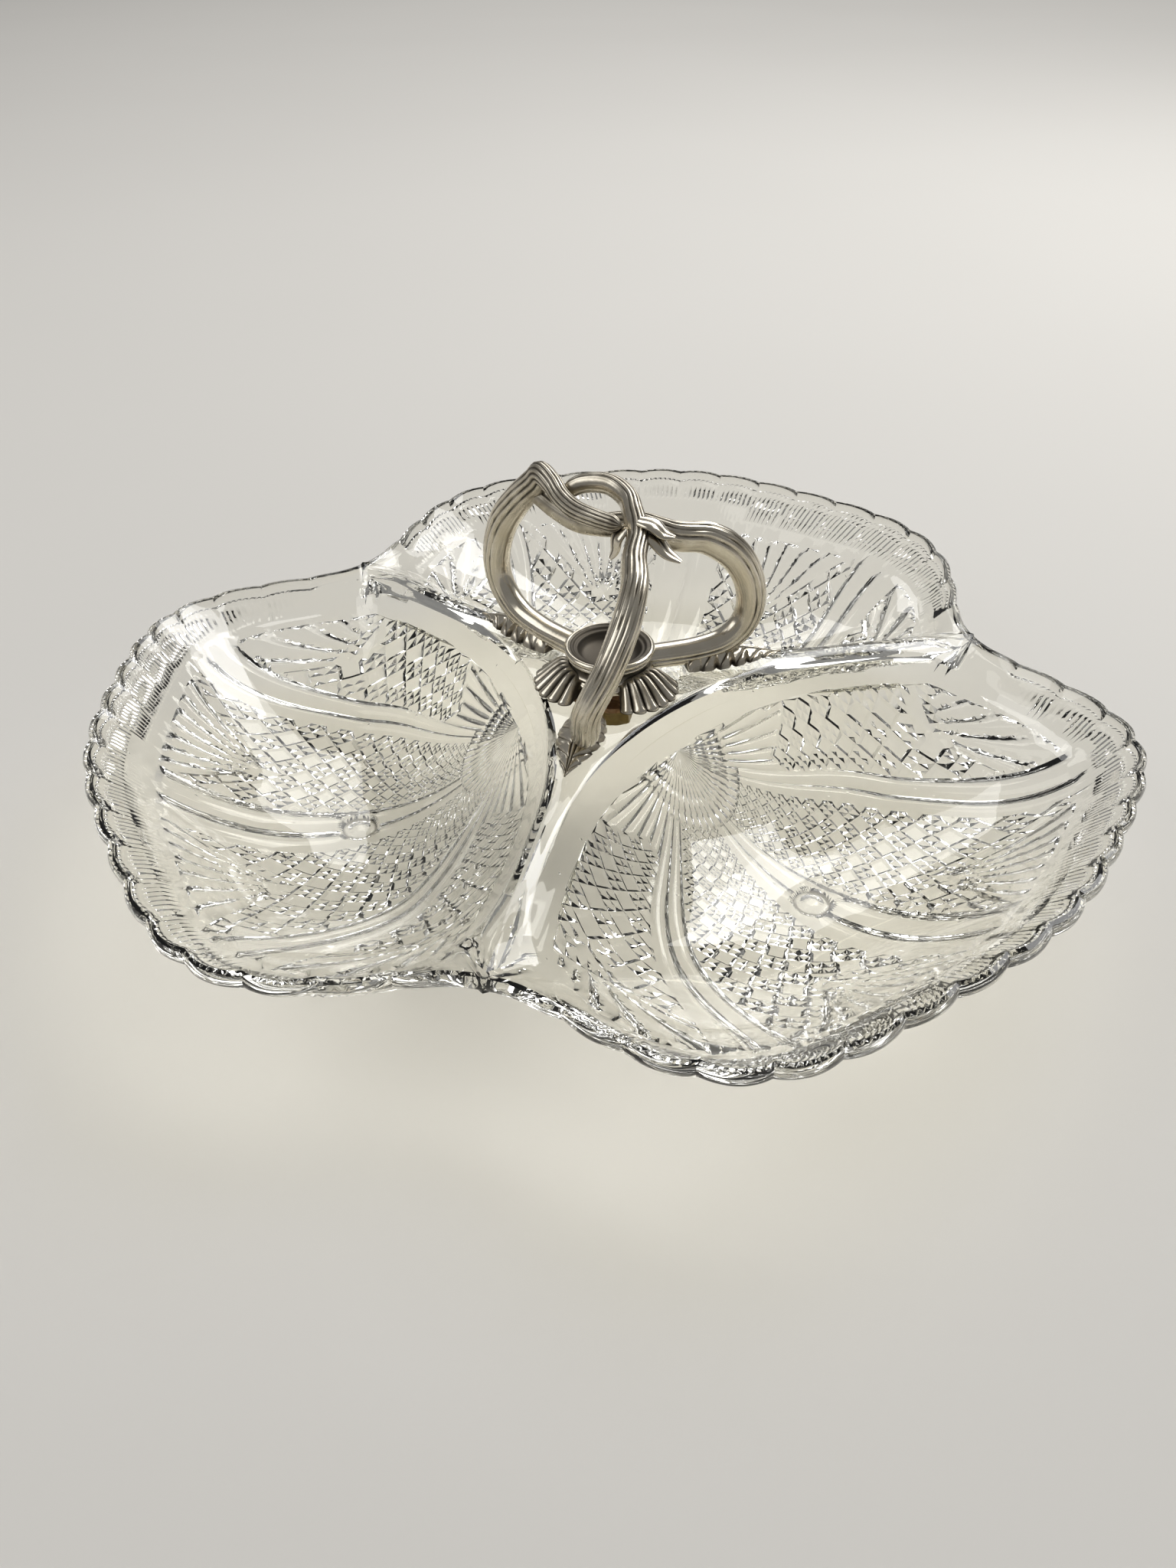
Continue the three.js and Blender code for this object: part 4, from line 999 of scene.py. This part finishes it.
def pressed_cork(tree, looks):
    """Cork crumbs pressed into sheet: tan grains about 2 mm across with darker seams."""
    place = add_node(tree, "ShaderNodeTexCoord").outputs["Object"]
    grains = add_node(tree, "ShaderNodeTexVoronoi", values={"Scale": per_metre(2)}, links={"Vector": place})
    edge = add_node(tree, "ShaderNodeTexVoronoi", {"feature": "DISTANCE_TO_EDGE"}, {"Scale": per_metre(2)},
                    {"Vector": place})
    tone = add_node(tree, "ShaderNodeMix", {"data_type": "RGBA"},
                    {6: [*looks.cork_colour, 1], 7: [*looks.cork_dark, 1]}, {0: grains.outputs["Color"]})
    seam = add_node(tree, "ShaderNodeMapRange", values={"From Max": 0.12, "To Min": 0.7, "To Max": 0.0},
                    links={"Value": edge.outputs["Distance"]})
    colour = add_node(tree, "ShaderNodeMix", {"data_type": "RGBA"}, {7: [*looks.cork_dark, 1]},
                      {0: seam.outputs["Result"], 6: tone.outputs[2]})
    pores = add_node(tree, "ShaderNodeBump", values={"Strength": 0.4, "Distance": 0.0002},
                     links={"Height": edge.outputs["Distance"]})
    return add_node(tree, "ShaderNodeBsdfPrincipled", values={"Roughness": 0.9},
                    links={"Base Color": colour.outputs[2], "Normal": pores.outputs["Normal"]}).outputs[0]


def pale_floor(tree, looks):
    """Matt painted board, with a tone that barely wanders."""
    place = add_node(tree, "ShaderNodeTexCoord").outputs["Object"]
    cloud = add_node(tree, "ShaderNodeTexNoise", values={"Scale": per_metre(400)}, links={"Vector": place})
    colour = add_node(tree, "ShaderNodeMix", {"data_type": "RGBA"},
                      {6: [*looks.floor_colour, 1], 7: [*looks.floor_shade, 1]}, {0: cloud.outputs["Fac"]})
    return add_node(tree, "ShaderNodeBsdfPrincipled", values={"Roughness": 0.75},
                    links={"Base Color": colour.outputs[2]}).outputs[0]


# Values that a user may change

def length(name, description, millimetres):
    """A length property whose default is given in millimetres."""
    return bpy.props.FloatProperty(name=name, description=description, default=millimetres * MM, min=0,
                                   unit="LENGTH", precision=4)


def factor(name, description, default):
    """A property from 0 to 1."""
    return bpy.props.FloatProperty(name=name, description=description, default=default, min=0, max=1,
                                   subtype="FACTOR")


def rotation(name, description, degrees):
    """An angle property whose default is given in degrees."""
    return bpy.props.FloatProperty(name=name, description=description, default=math.radians(degrees),
                                   unit="ROTATION")


def colour(name, description, hex_colour):
    """A colour property whose default is given as sRGB hex."""
    return bpy.props.FloatVectorProperty(name=name, description=description, default=linear(hex_colour)[:3],
                                         min=0, max=1, subtype="COLOR")


class DishSizes(bpy.types.PropertyGroup):
    """Sizes of the relief on the glass and on the handle."""

    diamond_depth: length("Diamond depth", "Depth of the largest diamonds under the bowls", 1.0)
    band_depth: length("Band depth", "Depth of the smooth flutes between the fields", 1.3)
    rib_depth: length("Rib depth", "Depth between the ribs that fan out from a shell's hinge", 0.75)
    flute_depth: length("Border flutes", "Depth of the fine flutes under the border", 0.8)
    scallop_depth: length("Scallop depth", "How far the rim dips between two scallops", 1.4)
    leaf_relief: length("Leaf spray", "How far the leaves under the bridge ends stand proud", 1.1)
    flutes_per_scallop: bpy.props.IntProperty(name="Flutes per scallop", min=4, max=12, default=8,
                                              description="Fine flutes under each scallop of the rim")
    reed_depth: length("Reed depth", "Depth of the grooves along the handle's arms", 0.5)
    reed_pitch: rotation("Reed pitch", "Angle between two reeds round an arm", 26)
    reed_turn: rotation("Reed turn", "How far the reeds wind round an arm", 60)
    leaflet_depth: length("Leaflet depth", "Depth of the grooves in the leaves under the arms", 0.7)
    shell_depth: length("Shell depth", "Depth of the flutes in the shells between the arms", 1.1)


class DishLooks(bpy.types.PropertyGroup):
    """Colours and wear of the finishes."""

    glass_colour: colour("Glass", "Tint of the glass", "#fbfaf4")
    glass_shadow: colour("Glass shadow", "What light keeps on its way through the glass", "#e4e3de")
    glass_roughness: factor("Glass roughness", "Mean roughness of the pressed faces", 0.02)
    silver_colour: colour("Silver", "Bright plating", "#e4dfd4")
    worn_colour: colour("Worn plating", "Where the plating is thin and warm", "#cbbfa6")
    # The tarnish colour below is also painted as shade under, inside and between the handle's parts.
    tarnish_and_shade_colour: colour("Tarnish", "Old tarnish in the grooves", "#2b241d")
    silver_roughness: factor("Silver roughness", "Roughness of the bright plating", 0.2)
    # This amount darkens both the tarnish and the painted shade of the handle.
    tarnish_and_shade_amount: factor("Tarnish amount", "How dark the grooves of the handle are", 0.9)
    brass_colour: colour("Brass", "Metal of the screw, nut and washer", "#93804f")
    brass_stain: colour("Brass stain", "Oxide on the brass", "#4f4126")
    cork_colour: colour("Cork", "Pale grains of the cork", "#b98f61")
    cork_dark: colour("Cork seams", "Dark grains and seams of the cork", "#6e4a2b")
    floor_colour: colour("Floor", "Floor under the dish", "#dedbd5")
    floor_shade: colour("Floor shade", "Second tone of the floor", "#d9d6d0")


# Operators, one for each piece or group of pieces

def plated(name, node, shape):
    """A piece of the handle from its points, triangles, and tarnish and painted shade, in place of one CAD
    node.
    """
    points, faces, tarnish_and_shade = shape
    piece(name, points, faces, finish("aged silver plate with painted shade", silver_plate), [node], "silver_plate", crease=60,
          layers={"tarnish_and_shade": tarnish_and_shade})


class DISH_OT_press_glass(bpy.types.Operator):
    """Presses the glass: three shell bowls, the bridges and the scalloped border in one piece"""

    bl_idname = "dish.press_glass"
    bl_label = "Press glass"

    def execute(self, context):
        points, faces = whole_dish(context.scene.dish_sizes)
        piece("pressed_dish", points, faces, finish("pressed soda glass", pressed_glass), ["glass_dish"],
              "clear_glass", crease=28)
        return {"FINISHED"}


class DISH_OT_cast_arms(bpy.types.Operator):
    """Casts the three reeded arms of the handle"""

    bl_idname = "dish.cast_arms"
    bl_label = "Cast arms"

    def execute(self, context):
        for name, arm in ARMS.items():
            parts = [arm_shape(arm, context.scene.dish_sizes)]
            if name == "front":
                parts += [flourish_shape(knots, context.scene.dish_sizes) for knots in FLOURISHES]
            plated(f"reeded_arm_{name}", f"handle_arm_{name}", joined(parts))
        return {"FINISHED"}


class DISH_OT_cast_leaves(bpy.types.Operator):
    """Casts the leaf under the foot of each arm"""

    bl_idname = "dish.cast_leaves"
    bl_label = "Cast leaves"

    def execute(self, context):
        for name, arm in ARMS.items():
            plated(f"acanthus_foot_{name}", f"leaf_foot_{name}", leaf_shape(arm, context.scene.dish_sizes))
        return {"FINISHED"}


class DISH_OT_cast_palmettes(bpy.types.Operator):
    """Casts the fluted shells that fill the bays between the arms"""

    bl_idname = "dish.cast_palmettes"
    bl_label = "Cast palmettes"

    def execute(self, context):
        for name, lobe_angle in zip(("back", "left", "right"), LOBE_ANGLES):
            shape = palmette_shape(lobe_angle, context.scene.dish_sizes)
            plated(f"shell_palmette_{name}", f"palmette_{name}", shape)
        return {"FINISHED"}


class DISH_OT_turn_boss(bpy.types.Operator):
    """Turns the cupped boss that the arms are soldered to"""

    bl_idname = "dish.turn_boss"
    bl_label = "Turn boss"

    def execute(self, context):
        plated("cupped_boss", "handle_boss", boss_shape())
        return {"FINISHED"}


class DISH_OT_cut_fixing(bpy.types.Operator):
    """Cuts the threaded stud and the nut under the glass"""

    bl_idname = "dish.cut_fixing"
    bl_label = "Cut stud and nut"

    def execute(self, context):
        brass = finish("turned brass", turned_brass)
        piece("screw_stud", *stud_shape(), brass, ["threaded_stud"], "brass", crease=50)
        piece("hexagon_nut", *nut_shape(), brass, ["fixing_nut"], "brass", crease=30, body="nut")
        return {"FINISHED"}


class DISH_OT_finish_washers(bpy.types.Operator):
    """Gives the corks and the washer, whose solids stay, their finishes"""

    bl_idname = "dish.finish_washers"
    bl_label = "Finish washers"

    def execute(self, context):
        cork = finish("pressed cork", pressed_cork)
        for name, made in (("upper_cork", cork), ("lower_cork", cork),
                           ("brass_washer", finish("turned brass", turned_brass))):
            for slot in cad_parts[name].material_slots:
                slot.material = made
        return {"FINISHED"}


# The stage

CAMERA_AIM = (-2.9, -12.7, 12.0)
CAMERA_AZIMUTH = 15.07
CAMERA_ELEVATION = 37.4
CAMERA_ROLL = -0.74
CAMERA_DISTANCE = 345.0
CAMERA_LENS = 29.0
SENSOR = 36.0
FLOOR_SIZE = 8.0
WORLD_LIGHT = 0.22

# Name, place in metres, size in metres, watts
LAMPS = (
    ("key softbox", (0.55, 0.75, 0.95), (0.8, 0.6), 7.0),
    ("fill softbox", (-0.9, -0.5, 0.9), (0.9, 0.9), 4.0),
    ("overhead softbox", (0.0, 2.2, 2.2), (3.0, 1.6), 42.0),
)


class DISH_OT_set_stage(bpy.types.Operator):
    """Lays the floor, hangs the softboxes and sets up the camera"""

    bl_idname = "dish.set_stage"
    bl_label = "Set stage"

    def execute(self, context):
        scene = context.scene
        scene.view_settings.view_transform = "Standard"
        half = FLOOR_SIZE / 2
        mesh = bpy.data.meshes.new("floor")
        corners = [(-half, -half, 0), (half, -half, 0), (half, half, 0), (-half, half, 0)]
        mesh.from_pydata(corners, [], [(0, 1, 2, 3)])
        mesh.materials.append(finish("pale floor board", pale_floor))
        floor = bpy.data.objects.new("floor", mesh)
        scene.collection.objects.link(floor)

        for name, place, size, watts in LAMPS:
            data = bpy.data.lights.new(name, "AREA")
            data.shape = "RECTANGLE"
            data.size, data.size_y = size
            data.energy = watts
            lamp = bpy.data.objects.new(name, data)
            lamp.location = place
            lamp.rotation_euler = (-Vector(place)).to_track_quat("-Z", "Y").to_euler()
            scene.collection.objects.link(lamp)

        world = bpy.data.worlds.new("studio")
        world.use_nodes = True
        light = world.node_tree.nodes["Background"].inputs
        light["Color"].default_value = (1, 1, 1, 1)
        light["Strength"].default_value = WORLD_LIGHT
        scene.world = world

        azimuth, elevation = math.radians(CAMERA_AZIMUTH), math.radians(CAMERA_ELEVATION)
        away = Vector((math.sin(azimuth) * math.cos(elevation), -math.cos(azimuth) * math.cos(elevation),
                       math.sin(elevation)))
        data = bpy.data.cameras.new("camera")
        data.sensor_width = SENSOR
        data.lens = CAMERA_LENS
        data.clip_start = 0.01
        camera = bpy.data.objects.new("camera", data)
        camera.location = (Vector(CAMERA_AIM) + away * CAMERA_DISTANCE) * MM
        aim = (-away).to_track_quat("-Z", "Y") @ Quaternion((0, 0, 1), math.radians(CAMERA_ROLL))
        camera.rotation_euler = aim.to_euler()
        scene.collection.objects.link(camera)
        scene.camera = camera
        return {"FINISHED"}


OPERATORS = (DISH_OT_press_glass, DISH_OT_cast_arms, DISH_OT_cast_leaves, DISH_OT_cast_palmettes,
             DISH_OT_turn_boss, DISH_OT_cut_fixing, DISH_OT_finish_washers, DISH_OT_set_stage)


class DISH_PT_panel(bpy.types.Panel):
    """Sidebar panel with the values and the operators of the dish"""

    bl_idname = "DISH_PT_panel"
    bl_label = "Divided Glass Dish"
    bl_space_type = "VIEW_3D"
    bl_region_type = "UI"
    bl_category = "Dish"

    def draw(self, context):
        for group in (context.scene.dish_sizes, context.scene.dish_looks):
            box = self.layout.box()
            for key in group.__annotations__:
                box.prop(group, key)
        for made in OPERATORS:
            self.layout.operator(made.bl_idname)


CLASSES = (DishSizes, DishLooks, *OPERATORS, DISH_PT_panel)


def register():
    """Registers the classes and hangs the values on the scene."""
    for made in CLASSES:
        bpy.utils.register_class(made)
    bpy.types.Scene.dish_sizes = bpy.props.PointerProperty(type=DishSizes)
    bpy.types.Scene.dish_looks = bpy.props.PointerProperty(type=DishLooks)


def unregister():
    """Takes the values and the classes away again."""
    del bpy.types.Scene.dish_looks
    del bpy.types.Scene.dish_sizes
    for made in reversed(CLASSES):
        bpy.utils.unregister_class(made)


def main():
    """Makes every piece and the stage."""
    register()
    bpy.ops.dish.press_glass()
    bpy.ops.dish.cast_arms()
    bpy.ops.dish.cast_leaves()
    bpy.ops.dish.cast_palmettes()
    bpy.ops.dish.turn_boss()
    bpy.ops.dish.cut_fixing()
    bpy.ops.dish.finish_washers()
    bpy.ops.dish.set_stage()


if __name__ == "__main__":
    main()
